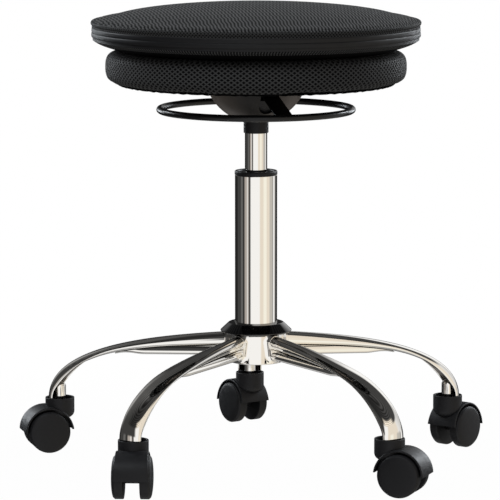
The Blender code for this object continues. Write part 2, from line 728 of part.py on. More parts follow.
def make_mechanism():
    """Taper socket and the pressed dome that carries the seat."""
    bore = GAS_TUBE_DIAMETER / 2 + SEAT_GAP
    outside = TAPER_SOCKET_DIAMETER / 2
    top = taper_socket_foot + TAPER_SOCKET_LENGTH - SEAT_GAP
    seat = dome_floor + DOME_WALL + SEAT_GAP
    flange = outside + TAPER_FLANGE
    profile = [(bore, taper_socket_foot), (outside, taper_socket_foot), (outside, seat), (flange, seat)]
    profile += [(flange, seat + TAPER_FLANGE_HEIGHT), (outside, seat + TAPER_FLANGE_HEIGHT)]
    profile += [(outside, top), (bore - GAS_TAPER, top)]
    turned("taper_socket", profile, COLUMN_FACETS, "black_plastic")

    hole = outside + SEAT_GAP
    floor_edge = DOME_FLOOR_DIAMETER / 2
    flange_edge = DOME_FLANGE_DIAMETER / 2
    flange_top = dome_floor + DOME_DEPTH
    flange_foot = flange_top - DOME_WALL
    middle = (0, dome_floor + sqrt(DOME_RADIUS**2 - floor_edge**2))
    inner = DOME_RADIUS - DOME_WALL
    outer_span = [asin((z - middle[1]) / DOME_RADIUS) for z in (dome_floor, flange_foot)]
    inner_span = [asin((z - middle[1]) / inner) for z in (flange_top, dome_floor + DOME_WALL)]
    profile = [(hole, dome_floor)] + arc(middle, (DOME_RADIUS, DOME_RADIUS), *outer_span, DOME_STEPS)
    profile += [(flange_edge, flange_foot), (flange_edge, flange_top)]
    profile += arc(middle, (inner, inner), *inner_span, ROUNDING_STEPS) + [(hole, dome_floor + DOME_WALL)]
    dome = turned("mechanism_dome", profile, COLUMN_FACETS, "dome_steel")
    slot = lever_slot()
    combine(dome, slot, "DIFFERENCE")
    settle(dome, [slot])


def lever_slot():
    """Upright slot with a round foot, right across the dome along the lever bar."""
    half = LEVER_SLOT_WIDTH / 2
    foot = dome_floor + LEVER_SLOT_FLOOR
    lever_top = lever_underside() + LEVER_THICKNESS + 2 * SEAT_GAP
    outline = arc((0, foot + half), (half, half), -pi, 0, SLOT_FOOT_STEPS)
    outline += [(half, lever_top), (-half, lever_top)]
    slot = slab("lever_slot", outline, DOME_FLANGE_DIAMETER, "steel")
    slot.rotation_euler = (0, 0, LEVER_ANGLE)
    return slot


def lever_underside():
    """Height of the lever bar's underside, just clear of the release pin."""
    return taper_socket_foot + TAPER_SOCKET_LENGTH + PIN_SHOWN + SEAT_GAP


def make_release_ring():
    """Ring of round rod with a flat bar across it, bent up at both sides to pass over the release pin."""
    reach = RING_DIAMETER / 2
    ring_height = board_underside - RING_DROP
    rod = arc((reach, ring_height), (RING_ROD / 2, RING_ROD / 2), 0, 2 * pi, ROD_FACETS)[:-1]
    ring = turned("release_ring", rod, RING_FACETS, "black_rod")
    low = lever_underside()
    rise = low + LEVER_THICKNESS / 2 - ring_height
    slope = atan2(rise, reach - LEVER_BEND_RADIUS)
    lift = LEVER_THICKNESS / 2 / cos(slope)
    end_low, end_high = ring_height - lift, ring_height + lift
    bend = LEVER_BEND_RADIUS
    outline = [(-reach, end_low), (-bend, low), (bend, low), (reach, end_low), (reach, end_high)]
    outline += [(bend, low + LEVER_THICKNESS), (-bend, low + LEVER_THICKNESS), (-reach, end_high)]
    bar = slab("lever_bar", outline, LEVER_WIDTH, "black_rod")
    bar.rotation_euler = (0, 0, LEVER_ANGLE - pi / 2)
    combine(ring, bar, "UNION")
    settle(ring, [bar])
    fulcrum = (bend * sin(LEVER_ANGLE), -bend * cos(LEVER_ANGLE), low + LEVER_THICKNESS)
    pivot = empty("lever_fulcrum", fulcrum)
    ring.parent = pivot
    ring.location = [-value for value in fulcrum]


def make_seat():
    """Seat board and the pad upholstered round it."""
    board = BOARD_DIAMETER / 2
    board_top = board_underside + BOARD_THICKNESS
    profile = [(0, board_underside), (board, board_underside), (board, board_top), (0, board_top)]
    turned("seat_board", profile, CUSHION_FACETS, "plywood")

    pocket = board + SEAT_GAP
    rim = PAD_DIAMETER / 2
    foot_round = (rim - PAD_FOOT_WIDTH, pad_foot + PAD_FOOT_HEIGHT)
    top_round = (rim - PAD_TOP_ROUNDING, pad_top - PAD_TOP_ROUNDING)
    profile = [(pocket, pad_foot)]
    profile += arc(foot_round, (PAD_FOOT_WIDTH, PAD_FOOT_HEIGHT), -pi / 2, 0, ROUNDING_STEPS)
    profile += arc(top_round, (PAD_TOP_ROUNDING, PAD_TOP_ROUNDING), 0, pi / 2, PAD_TOP_STEPS)
    profile += [(0, pad_top), (0, board_top + SEAT_GAP), (pocket, board_top + SEAT_GAP)]
    turned("seat_pad", profile, CUSHION_FACETS, "black_mesh")


def crown_height(radius):
    """Height of the top panel: flat in the middle and falling faster towards the rim."""
    return rim_height + TOP_CROWN * (1 - (radius / (CUSHION_DIAMETER / 2)) ** TOP_CROWN_POWER)


def underside_profile(offset):
    """Outside of the cushion's underside moved in by offset, from the axis to the rim."""
    rim = CUSHION_DIAMETER / 2 - BAND_INSET - offset
    rest = CUSHION_REST_DIAMETER / 2
    top = cushion_foot + UNDERSIDE_HEIGHT
    rounding = UNDERSIDE_ROUNDING - offset / 2
    curve = arc((rim - rounding, top), (rounding, rounding), UNDERSIDE_LEAN, 0, ROUNDING_STEPS)
    return [(0, cushion_foot + offset), (rest - offset, cushion_foot + offset)] + curve


def make_balance_cushion():
    """Cover of the balance cushion in three pieces, and the air bladder inside it."""
    outer = underside_profile(0.0)
    inner = underside_profile(UNDERSIDE_WALL)
    turned("cushion_underside", outer + inner[::-1], CUSHION_FACETS, "black_mesh")

    rim = CUSHION_DIAMETER / 2 - BAND_INSET
    quarter = BAND_HEIGHT / 4
    profile = [(rim - BAND_WALL, band_foot), (rim, band_foot)]
    profile += [(rim + BAND_RIDGE, band_foot + quarter), (rim, band_foot + 2 * quarter)]
    profile += [(rim + BAND_RIDGE, band_foot + 3 * quarter)]
    profile += [(rim, band_foot + BAND_HEIGHT), (rim - BAND_WALL, band_foot + BAND_HEIGHT)]
    turned("zip_band", profile, CUSHION_FACETS, "satin_band")

    edge = CUSHION_DIAMETER / 2
    shoulder = edge - TOP_EDGE_ROUNDING
    radii = [shoulder * (1 - i / CROWN_STEPS) for i in range(CROWN_STEPS + 1)]
    crown = [(r, crown_height(r)) for r in radii]
    inner_edge = edge - TOP_EDGE_WALL
    lining = [(r * inner_edge / edge, crown_height(r) - TOP_FOAM) for r in reversed(radii)]
    profile = [(inner_edge, top_foot), (edge, top_foot), (edge, crown_height(edge) - TOP_EDGE_ROUNDING)]
    profile += crown + lining
    turned("cushion_top", profile, CUSHION_FACETS, "black_mesh")

    air = edge - BAND_INSET - BAND_WALL - SEAT_GAP
    floor = underside_profile(UNDERSIDE_WALL + SEAT_GAP)
    floor = [(min(r, air), z) for r, z in floor]
    ceiling = [(r * air / edge, z - SEAT_GAP) for r, z in reversed(lining)]
    turned("air_bladder", floor + ceiling, CUSHION_FACETS, "bladder_vinyl")


def main():
    clear_scene()
    make_hub()
    make_legs()
    make_casters()
    make_column()
    make_gas_spring()
    make_mechanism()
    make_release_ring()
    make_seat()
    make_balance_cushion()


main()
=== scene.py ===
# %% [markdown]
# # Dressing a balance stool
#
# A balance stool is a round seat on a gas lift, with an air cushion on top that tilts under the sitter, and a
# chromed five-leg base on casters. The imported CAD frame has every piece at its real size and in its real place,
# but its round pieces are faceted and its cushions are plain solids. This lesson builds smooth surfaces around that
# frame, gives each one its finish, and lets every piece move with the body that carries it.
#
# Lengths are in metres, the column stands on the Z axis and the front is -Y.

# %% Load the frame
from functools import partial
from math import cos, pi, radians, sin, sqrt

import bmesh
import bpy
import numpy as np
from mathutils import Matrix, Vector


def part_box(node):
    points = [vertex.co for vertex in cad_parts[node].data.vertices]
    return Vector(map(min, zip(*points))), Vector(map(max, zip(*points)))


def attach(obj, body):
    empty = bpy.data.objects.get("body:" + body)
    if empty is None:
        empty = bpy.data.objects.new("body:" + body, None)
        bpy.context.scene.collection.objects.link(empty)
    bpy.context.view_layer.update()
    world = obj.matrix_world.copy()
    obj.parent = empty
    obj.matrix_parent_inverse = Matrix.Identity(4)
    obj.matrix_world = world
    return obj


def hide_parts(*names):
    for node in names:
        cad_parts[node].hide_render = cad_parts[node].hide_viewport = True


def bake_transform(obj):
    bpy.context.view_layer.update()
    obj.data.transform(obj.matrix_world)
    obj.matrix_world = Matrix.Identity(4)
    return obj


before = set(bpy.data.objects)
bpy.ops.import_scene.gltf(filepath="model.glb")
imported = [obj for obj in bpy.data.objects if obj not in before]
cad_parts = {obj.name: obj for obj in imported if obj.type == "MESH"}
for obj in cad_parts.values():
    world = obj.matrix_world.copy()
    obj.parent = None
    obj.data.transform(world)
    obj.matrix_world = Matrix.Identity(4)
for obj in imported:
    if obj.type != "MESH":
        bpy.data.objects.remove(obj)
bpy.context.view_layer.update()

# %% [markdown]
# ## The camera
#
# The photograph is taken from far off with a long lens, from a little above the seat's height, so the cushion is seen
# almost edge on. The focal length is worked out in pixels of a 500 pixel picture, and Blender wants it in millimetres
# on its sensor. The small shift puts the column where it is in the photograph.

# %% Camera
CAMERA_PLACE = (0.0, -4.06028, 0.80924)
CAMERA_DIP = 0.136063
PICTURE = 500
FOCAL_PIXELS = 3457.5
SHIFT_PIXELS = (-6.05, 0.5)

camera = bpy.data.objects.new("camera", bpy.data.cameras.new("camera"))
bpy.context.scene.collection.objects.link(camera)
camera.location = CAMERA_PLACE
camera.rotation_euler = (pi / 2 - CAMERA_DIP, 0, 0)
camera.data.lens = camera.data.sensor_width * FOCAL_PIXELS / PICTURE
camera.data.shift_x = SHIFT_PIXELS[0] / PICTURE
camera.data.shift_y = SHIFT_PIXELS[1] / PICTURE
bpy.context.scene.camera = camera
print("lens", round(camera.data.lens, 1), "mm")

# %% [markdown]
# ## Building node trees
#
# Every finish below is a node tree, so one helper adds a node: settings are its own properties, and inputs are either
# plain values or the output socket of another node, which is then linked. The nodes that come up most often get
# helpers of their own.


# %% Node helpers
def add(tree, kind, inputs=None, **settings):
    """Add a shader node, set its properties, and set or link its inputs."""
    made = tree.nodes.new("ShaderNode" + kind)
    for key, value in settings.items():
        setattr(made, key, value)
    for key, value in (inputs or {}).items():
        if isinstance(value, bpy.types.NodeSocket):
            tree.links.new(value, made.inputs[key])
        else:
            made.inputs[key].default_value = value
    return made


def ramp(tree, factor, stops):
    """Colour ramp through a list of (position, grey or colour)."""
    made = add(tree, "ValToRGB", {"Fac": factor})
    elements = made.color_ramp.elements
    while len(elements) < len(stops):
        elements.new(0.5)
    for element, (position, colour) in zip(elements, stops):
        element.position = position
        element.color = (*np.broadcast_to(colour, 3), 1.0)
    return made.outputs["Color"]


# %% Helpers for common nodes
def math(tree, operation, *values):
    """Output of a math node."""
    return add(tree, "Math", dict(enumerate(values)), operation=operation).outputs[0]


def vector_math(tree, operation, *values):
    """Output of a vector math node."""
    return add(tree, "VectorMath", dict(enumerate(values)), operation=operation).outputs[0]


def map_range(tree, value, start, end, low=0.0, high=1.0, **settings):
    """Output that goes from low to high as the value goes from start to end."""
    inputs = {"Value": value, "From Min": start, "From Max": end, "To Min": low, "To Max": high}
    return add(tree, "MapRange", inputs, **settings).outputs["Result"]


def mix_colours(tree, share, low, high):
    """Colour that goes from low to high with the share."""
    return add(tree, "Mix", {"Factor": share, "A": low, "B": high}, data_type="RGBA").outputs["Result"]


def mix_shaders(tree, share, low, high):
    """Shader that goes from low to high with the share."""
    return add(tree, "MixShader", {0: share, 1: low.outputs[0], 2: high.outputs[0]})


def new_finish(name):
    """New material, with its node tree and its shader."""
    material = bpy.data.materials.new(name)
    material.use_nodes = True
    return material, material.node_tree, material.node_tree.nodes["Principled BSDF"]


# %% [markdown]
# ## The studio
#
# Chrome has hardly any look of its own: it shows the room. The column in the photograph shows a white wall in front,
# a cream one on the right, and dark screens on the left and behind. The round backs of the legs show what is higher
# up and lower down. So the room is five rings of colours round the horizon, one above the other: the ground, the
# walls, the tops of the walls, the cornice and the ceiling, each blended into the next. Louvres in the cornice and
# the ceiling draw fine stripes across the legs. Glossy rays read the room, the camera sees plain white, and matt
# surfaces get an even fill.

# %% Colours of the room
CREAM = (0.86, 0.78, 0.67)
IVORY = (1.0, 0.97, 0.86)
ROSE = (0.45, 0.41, 0.38)
SLATE = (0.56, 0.54, 0.50)
WALLS = [  # degrees to the right of the front, and the colour of the wall there
    (-180, 0.01),
    (-124, 0.02),
    (-114, 0.06),
    (-94, 0.05),
    (-87, 0.14),
    (-79, 0.14),
    (-75, 0.03),
    (-68, 0.04),
    (-62, ROSE),
    (-53, ROSE),
    (-48, 0.90),
    (-43, ROSE),
    (-38, 0.05),
    (-32, 0.06),
    (-28, 1.0),
    (18, 1.0),
    (24, CREAM),
    (37, CREAM),
    (45, IVORY),
    (57, IVORY),
    (63, CREAM),
    (76, CREAM),
    (82, SLATE),
    (98, SLATE),
    (105, 0.25),
    (110, 1.0),
    (117, 1.0),
    (125, 0.35),
    (133, 0.03),
    (180, 0.01),
]
GROUND = [
    (-180, 0.35),
    (-150, 0.60),
    (-128, 0.05),
    (-84, 0.05),
    (-66, 1.0),
    (20, 1.0),
    (45, IVORY),
    (90, CREAM),
    (125, SLATE),
    (180, 0.35),
]
WALL_TOPS = [
    (-180, 0.04),
    (-170, 0.04),
    (-160, 0.25),
    (-148, 0.40),
    (-134, 0.10),
    (-118, 0.05),
    (-26, 0.05),
    (-12, 1.0),
    (18, 1.0),
    (28, CREAM),
    (84, CREAM),
    (96, 0.85),
    (140, 0.60),
    (150, 1.0),
    (170, 1.0),
    (177, 0.04),
]
CEILING = [
    (-180, 0.05),
    (-150, 0.10),
    (-120, 0.07),
    (-60, 0.02),
    (0, 0.03),
    (60, 0.05),
    (120, 0.06),
    (180, 0.05),
]
CORNICE = [*CEILING[:4], (-20, 0.03), (0, CREAM), (62, CREAM), (80, 0.06), *CEILING[6:]]
RINGS = [  # sines of the heights between which the ring below turns into this one
    ((-2, -1), GROUND),
    ((-0.58, -0.42), WALLS),
    ((0.01, 0.10), WALL_TOPS),
    ((0.46, 0.54), CORNICE),
    ((0.64, 0.72), CEILING),
]

# %% World
LOUVRES = 17
SLAT_LIGHT = (0.45, 1.55)
FILL_LIGHT = 0.38
WHITE = (1, 1, 1, 1)


def round_horizon(tree, turn, stops):
    """Ramp of colours by the angle from the front."""
    return ramp(tree, turn, [(0.5 + angle / 360, colour) for angle, colour in stops])


world = bpy.data.worlds.new("studio")
scene = bpy.context.scene
scene.world = world
world.use_nodes = True
tree = world.node_tree
tree.nodes.clear()
direction = add(tree, "TexCoord").outputs["Generated"]
facing = add(tree, "Mapping", {"Vector": direction, "Rotation": (0, 0, pi / 2)}).outputs["Vector"]
turn = add(tree, "TexGradient", {"Vector": facing}, gradient_type="RADIAL").outputs["Fac"]
height = add(tree, "SeparateXYZ", {"Vector": direction}).outputs["Z"]
slats = math(tree, "SINE", math(tree, "MULTIPLY", height, 2 * pi * LOUVRES))
slats = map_range(tree, slats, -1, 1, *SLAT_LIGHT)
room = (0, 0, 0, 1)
for heights, stops in RINGS:
    colour = round_horizon(tree, turn, stops)
    if stops in (CORNICE, CEILING):
        colour = vector_math(tree, "MULTIPLY", colour, slats)
    room = mix_colours(tree, map_range(tree, height, *heights), room, colour)
rays = add(tree, "LightPath").outputs
seen = math(tree, "MAXIMUM", rays["Is Camera Ray"], rays["Is Transmission Ray"])
fill = add(tree, "Background", {"Color": WHITE, "Strength": FILL_LIGHT})
mirrored = add(tree, "Background", {"Color": room})
white = add(tree, "Background", {"Color": WHITE})
matt_or_glossy = mix_shaders(tree, rays["Is Glossy Ray"], fill, mirrored)
all_rays = mix_shaders(tree, seen, matt_or_glossy, white)
add(tree, "OutputWorld", {"Surface": all_rays.outputs[0]})
scene.view_settings.view_transform = "Standard"
print("studio:", sum(len(stops) for _, stops in RINGS), "colours in", len(RINGS), "rings")

# %% [markdown]
# ## The lamps
#
# One large soft box over the front on the left gives the matt pieces a side to their shading, and two smaller ones
# behind draw a light edge along the caster hoods and the cushion. Two low strips behind put a gleam on the ends of
# the band. On chrome they would show as bare white patches, so they are linked to the black pieces only: a lamp with a
# receiver collection lights nothing outside it. Two more at the sides light only the steel cup under the seat, which
# is dark in the middle and lighter towards its edges; they leave no highlight.

# %% Lamps
LAMPS = {  # place, size and power of each soft box
    "key_box": ((-0.9, -1.7, 3.0), 1.4, 34),
    "left_box": ((-2.0, 1.5, 1.5), 0.9, 42),
    "right_box": ((2.0, 1.5, 1.5), 0.9, 42),
    "left_strip": ((-1.5, 2.1, 0.45), 0.6, 8),
    "right_strip": ((1.5, 2.1, 0.45), 0.6, 8),
    "cup_left": ((-1.4, 0.5, 0.2), 0.5, 110),
    "cup_right": ((1.4, 0.5, 0.2), 0.5, 135),
}
AIM = Vector((0, 0, 0.3))
LAMP_COLOUR = (0.90, 0.95, 1.0)
CUP_COLOUR = (1.0, 0.96, 0.92)

black_pieces = bpy.data.collections.new("black_pieces")
cup_only = bpy.data.collections.new("cup_only")
for name, (place, size, power) in LAMPS.items():
    lamp = bpy.data.objects.new(name, bpy.data.lights.new(name, "AREA"))
    scene.collection.objects.link(lamp)
    lamp.location = place
    lamp.rotation_euler = (AIM - lamp.location).to_track_quat("-Z", "Y").to_euler()
    lamp.data.size = size
    lamp.data.energy = power
    for_cup = name.startswith("cup")
    lamp.data.color = CUP_COLOUR if for_cup else LAMP_COLOUR
    lamp.light_linking.receiver_collection = cup_only if for_cup else black_pieces
    lamp.visible_glossy = not for_cup
print("lamps:", ", ".join(LAMPS))

# %% [markdown]
# ## Surfaces from grids
#
# A smooth piece is a grid of points: rows along one parameter and columns along the other, all worked out at once as
# one array. `patch` gives the quads of a grid, `lathe` turns a profile about the column, and `piece` joins patches,
# welds their seams and poles, and turns the faces outwards. `rings` and `turned` are the two most common patches.


# %% Grid helpers
def patch(points, close_rows=False, close_columns=False):
    """Points and quads of a grid, where point (i, j) has the number i * columns + j."""
    rows, columns = points.shape[:2]
    i, j = np.meshgrid(
        np.arange(rows if close_rows else rows - 1),
        np.arange(columns if close_columns else columns - 1),
        indexing="ij",
    )
    below, beside = (i + 1) % rows, (j + 1) % columns
    corners = [i * columns + j, below * columns + j, below * columns + beside, i * columns + beside]
    quads = np.stack(corners, -1)
    return points.reshape(-1, 3), quads.reshape(-1, 4)


def lathe(profile, steps):
    """Grid of a profile of (radius, height) turned about Z: (r cos a, r sin a, z)."""
    angle = 2 * pi * np.arange(steps) / steps
    radius, height = np.asarray(profile, float).T
    grid = np.empty((len(radius), steps, 3))
    grid[..., 0] = radius[:, None] * np.cos(angle)
    grid[..., 1] = radius[:, None] * np.sin(angle)
    grid[..., 2] = height[:, None]
    return grid


def capped(grid):
    """Grid with a first and a last row drawn together in the middle, which closes both ends."""
    ends = grid[[0, -1]].mean(axis=1, keepdims=True)
    ends = np.broadcast_to(ends, (2, *grid.shape[1:]))
    return np.concatenate([ends[:1], grid, ends[1:]])


def rings(grid):
    """Patch of a grid whose rows are closed rings."""
    return patch(grid, False, True)


def turned(profile, steps, closed=False):
    """Patch of a profile turned about Z. A closed profile runs from its last point back to its first."""
    return patch(lathe(profile, steps), closed, True)


print("a grid of 3 by 4 points has", len(patch(np.zeros((3, 4, 3)))[1]), "quads")

# %% Piece helper
WELD = 1e-6
SHARP = radians(38)


def shade(mesh, sharp=SHARP):
    """Smooth shading, with a crease where two faces meet at more than the sharp angle."""
    mesh.shade_smooth()
    mesh.set_sharp_from_angle(angle=sharp)


def piece(name, patches, *materials, numbers=None, sharp=SHARP):
    """Object of one or more patches, welded, turned outwards and shaded smooth.

    With several materials, numbers holds the number of each patch's material.
    """
    starts = np.cumsum([0] + [len(points) for points, _ in patches])
    points = np.concatenate([points for points, _ in patches])
    quads = np.concatenate([quads + start for (_, quads), start in zip(patches, starts)])
    mesh = bpy.data.meshes.new(name)
    mesh.from_pydata(points, [], quads)
    for material in materials:
        mesh.materials.append(material)
    if numbers:
        counts = [len(quads) for _, quads in patches]
        mesh.polygons.foreach_set("material_index", np.repeat(numbers, counts))
    work = bmesh.new()
    work.from_mesh(mesh)
    bmesh.ops.remove_doubles(work, verts=work.verts, dist=WELD)
    bmesh.ops.dissolve_degenerate(work, edges=work.edges, dist=WELD)
    bmesh.ops.recalc_face_normals(work, faces=work.faces)
    work.to_mesh(mesh)
    work.free()
    shade(mesh, sharp)
    made = bpy.data.objects.new(name, mesh)
    scene.collection.objects.link(made)
    return made


def triangles(made):
    """Number of triangles of an object's mesh."""
    return sum(len(face.vertices) - 2 for face in made.data.polygons)


# %% [markdown]
# ## Rounded profiles
#
# Real edges are never knife sharp, and a thin bright line along a rounded edge is what tells the eye that a piece is
# solid. A profile is written as corners with a radius each, and the corners are replaced with arcs.


# %% Rounded profile
def rounded(corners, steps=6, closed=False):
    """Profile through corners of (x, y, radius), each replaced with an arc.

    The arc at a corner touches both sides at radius / tan(half the corner's angle), and its centre lies on the
    corner's bisector at radius / sin(half the angle).
    """
    corners = np.asarray(corners, float)
    corner, radius = corners[:, :2], corners[:, 2].copy()
    if not closed:
        radius[[0, -1]] = 0
    to_last = np.roll(corner, 1, axis=0) - corner
    to_next = np.roll(corner, -1, axis=0) - corner
    to_last /= np.linalg.norm(to_last, axis=1, keepdims=True) + 1e-12
    to_next /= np.linalg.norm(to_next, axis=1, keepdims=True) + 1e-12
    half = np.arccos(np.clip((to_last * to_next).sum(1), -1, 1)) / 2 + 1e-9
    bisector = to_last + to_next
    bisector /= np.linalg.norm(bisector, axis=1, keepdims=True) + 1e-12
    centre = corner + bisector * (radius / np.sin(half))[:, None]
    start = corner + to_last * (radius / np.tan(half))[:, None] - centre
    turn = np.sign(to_last[:, 1] * to_next[:, 0] - to_last[:, 0] * to_next[:, 1]) * (pi - 2 * half)
    angle = np.arctan2(start[:, 1], start[:, 0])[:, None] + turn[:, None] * np.linspace(0, 1, steps + 1)
    arcs = centre[:, None] + radius[:, None, None] * np.stack([np.cos(angle), np.sin(angle)], -1)
    return arcs.reshape(-1, 2)


square = rounded([(0, 0, 0.1), (1, 0, 0.1), (1, 1, 0.1), (0, 1, 0.1)], closed=True)
print("a square with round corners has", len(square), "points")


# %% [markdown]
# ## Hard finishes
#
# Polished chrome is a mirror with a slightly warm tint and almost no roughness. The plastics are near black, and what
# separates them is the surface: the caster nylon has a fine moulded grain, the bush is matt, and the collar on the hub
# is glossy. The grain is noise on object coordinates, so it has the same scale on every piece.


# %% Helper for hard finishes
NOISE_RANGE = (0.3, 0.7)  # most of a noise lies between these
PATCH_GRAINS = 12  # grains across a patch of other roughness


def hard_finish(name, colour, metallic, roughness, grain, grain_height, mottle=0.0, specular=0.5):
    """Principled finish whose roughness varies between two values and whose grain is a fine noise bump.

    grain is the number of bumps per metre and mottle is how far the colour varies, as a share.
    """
    material, tree, shader = new_finish(name)
    shader.inputs["Metallic"].default_value = metallic
    shader.inputs["Specular IOR Level"].default_value = specular
    place = add(tree, "TexCoord").outputs["Object"]
    patches = add(tree, "TexNoise", {"Vector": place, "Scale": grain / PATCH_GRAINS, "Detail": 3.0}).outputs["Fac"]
    tree.links.new(map_range(tree, patches, *NOISE_RANGE, *roughness), shader.inputs["Roughness"])
    tones = np.outer((1 - mottle, 1 + mottle), colour)
    tree.links.new(ramp(tree, patches, list(zip(NOISE_RANGE, tones))), shader.inputs["Base Color"])
    fine = add(tree, "TexNoise", {"Vector": place, "Scale": grain, "Detail": 2.0}).outputs["Fac"]
    bump = add(tree, "Bump", {"Height": fine, "Distance": grain_height, "Strength": 1.0})
    tree.links.new(bump.outputs["Normal"], shader.inputs["Normal"])
    return material


# %% Hard finishes
chrome = hard_finish("polished_chrome", (0.90, 0.88, 0.84), 1.0, (0.015, 0.05), 240, 2e-6)
# Inside of the leg channels: a rougher chrome whose dark colour is painted shade of the narrow channel.
shaded_channel_chrome = hard_finish("channel_inside", (0.16, 0.15, 0.14), 1.0, (0.16, 0.26), 500, 8e-6, 0.10)
steel = hard_finish("ground_steel", (0.52, 0.51, 0.49), 1.0, (0.28, 0.42), 900, 1e-5, 0.06)
nylon = hard_finish("moulded_nylon", (0.0115, 0.0115, 0.0130), 0.0, (0.44, 0.56), 1500, 4e-5, 0.08, 0.22)
matt_black = hard_finish("matt_black_plastic", (0.009, 0.009, 0.010), 0.0, (0.42, 0.54), 1800, 3e-5, 0.08, 0.22)
gloss_black = hard_finish("gloss_black_plastic", (0.003, 0.003, 0.0035), 0.0, (0.03, 0.07), 300, 3e-6, 0.05, 0.8)
black_enamel = hard_finish("black_enamel", (0.006, 0.006, 0.0065), 0.0, (0.26, 0.36), 700, 2e-5, 0.05, 0.3)
bar_enamel = hard_finish("bar_enamel", (0.003, 0.003, 0.0034), 0.0, (0.40, 0.50), 1100, 2e-5, 0.05, 0.05)
dome_paint = hard_finish("dome_paint", (0.017, 0.0150, 0.0135), 0.0, (0.34, 0.44), 1100, 2e-5, 0.10, 0.16)
plywood = hard_finish("plywood_board", (0.48, 0.34, 0.20), 0.0, (0.6, 0.75), 260, 8e-5, 0.18)
film = hard_finish("grey_film", (0.30, 0.32, 0.34), 0.0, (0.35, 0.45), 400, 4e-5, 0.05)
print("hard finishes:", len(bpy.data.materials))

# %% [markdown]
# ## The column and the hub
#
# These are turned pieces, so each is one profile and one `lathe`. Their feet, tops and radii come from the frame's
# boxes, and only the small edge radii are new. A turned chrome piece needs many steps: any facet would show as a
# broken reflection.

# %% Helpers for turned pieces
TURN_STEPS = 160
EDGE = 0.0006


def span(node):
    """Foot, top and outside radius of a CAD node that stands on the Z axis."""
    low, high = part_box(node)
    return low.z, high.z, max(high.x, high.y)


def put(made, body, slot, *nodes):
    """Let a piece ride on a body and stand for CAD nodes; the lamps light it unless its slot is chrome, steel or gloss
    black.
    """
    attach(made, body)
    if nodes:
        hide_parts(*nodes)
    if slot not in ("chrome", "steel", "gloss_black"):
        black_pieces.objects.link(made)
    print(made.name, triangles(made), "triangles")
    return made


def turned_piece(name, body, slot, material, *nodes, corners):
    """Turned piece with rounded corners."""
    made = piece(name, [turned(rounded(corners, closed=True), TURN_STEPS, True)], material)
    return put(made, body, slot, *nodes)


# %% Column and hub
SNUG = 0.0002  # gaps between pieces that fit into each other
LOOSE = 0.0003
COLUMN_RADIUS = 0.025
COLUMN_BORE = 0.023
column_foot, column_top, _ = span("column_tube")
hub_foot, hub_top, _ = span("hub")
HUB_RADIUS = 0.033
TAPER = 0.001
taper_foot = COLUMN_RADIUS - TAPER
turned_piece("column_outer_tube", "base", "chrome", chrome, "column_tube", corners=[
    (COLUMN_BORE, column_foot, 0),
    (taper_foot, column_foot, 0),
    (COLUMN_RADIUS, hub_top, 0),
    (COLUMN_RADIUS, column_top, EDGE),
    (COLUMN_BORE, column_top, EDGE),
])
HUB_EDGE = 0.0016
turned_piece("base_hub", "base", "chrome", chrome, "hub", corners=[
    (taper_foot + SNUG, hub_foot, EDGE),
    (HUB_RADIUS, hub_foot, HUB_EDGE),
    (HUB_RADIUS, hub_top, HUB_EDGE),
    (COLUMN_RADIUS + SNUG, hub_top, 0),
])

# %% [markdown]
# ## Inside and round the column
#
# The inner tube of the gas spring slides in a black bush in the top of the column, and a flared collar covers the
# joint between the column and the hub. Plain cylinders would do from far off, but the dish in the bush and the round
# shoulder of the collar catch the light, so these get full profiles too. A socket in the cup takes the top of the
# tube.

# %% Gas tube
GAS_RADIUS = 0.01325
GAS_BORE = 0.01125
GAS_WALL_END = 0.035
GAS_FOOT = 0.012
ROD_HOLE = 0.0052
PIN_HOLE = (0.0042, 0.022)  # radius and depth of the button's hole
VALVE_HOLE = 0.0002
gas_foot, gas_top, _ = span("gas_cylinder")
socket_foot, socket_top, _ = span("taper_socket")
turned_piece("gas_tube", "seat", "chrome", chrome, "gas_cylinder", corners=[
    (ROD_HOLE, gas_foot, 0),
    (GAS_RADIUS, gas_foot, EDGE),
    (GAS_RADIUS, socket_foot, 0),
    (GAS_RADIUS - 0.0008, gas_top, EDGE),
    (PIN_HOLE[0], gas_top, 0),
    (PIN_HOLE[0], gas_top - PIN_HOLE[1], 0),
    (VALVE_HOLE, gas_top - PIN_HOLE[1], 0),
    (VALVE_HOLE, gas_top - GAS_WALL_END, 0),
    (GAS_BORE, gas_top - GAS_WALL_END, 0),
    (GAS_BORE, gas_foot + GAS_FOOT, 0),
    (ROD_HOLE, gas_foot + GAS_FOOT, 0),
])

# %% Bush
bush_foot, bush_top, _ = span("guide_bush")
BUSH_RADIUS = 0.0253
BUSH_RIM = 0.003
BUSH_DISH = 0.0022
turned_piece("column_bush", "base", "black_plastic", matt_black, "guide_bush", corners=[
    (GAS_RADIUS + SNUG, bush_foot, EDGE),
    (COLUMN_BORE - LOOSE, bush_foot, EDGE),
    (COLUMN_BORE - LOOSE, column_top + LOOSE, 0),
    (BUSH_RADIUS, column_top + LOOSE, EDGE),
    (BUSH_RADIUS, bush_top, 0.0014),
    (BUSH_RADIUS - BUSH_RIM, bush_top, 0.0012),
    (BUSH_RADIUS - BUSH_RIM - 0.0012, bush_top - BUSH_DISH, 0.0008),
    (GAS_RADIUS + SNUG, bush_top - BUSH_DISH, 0.0004),
])

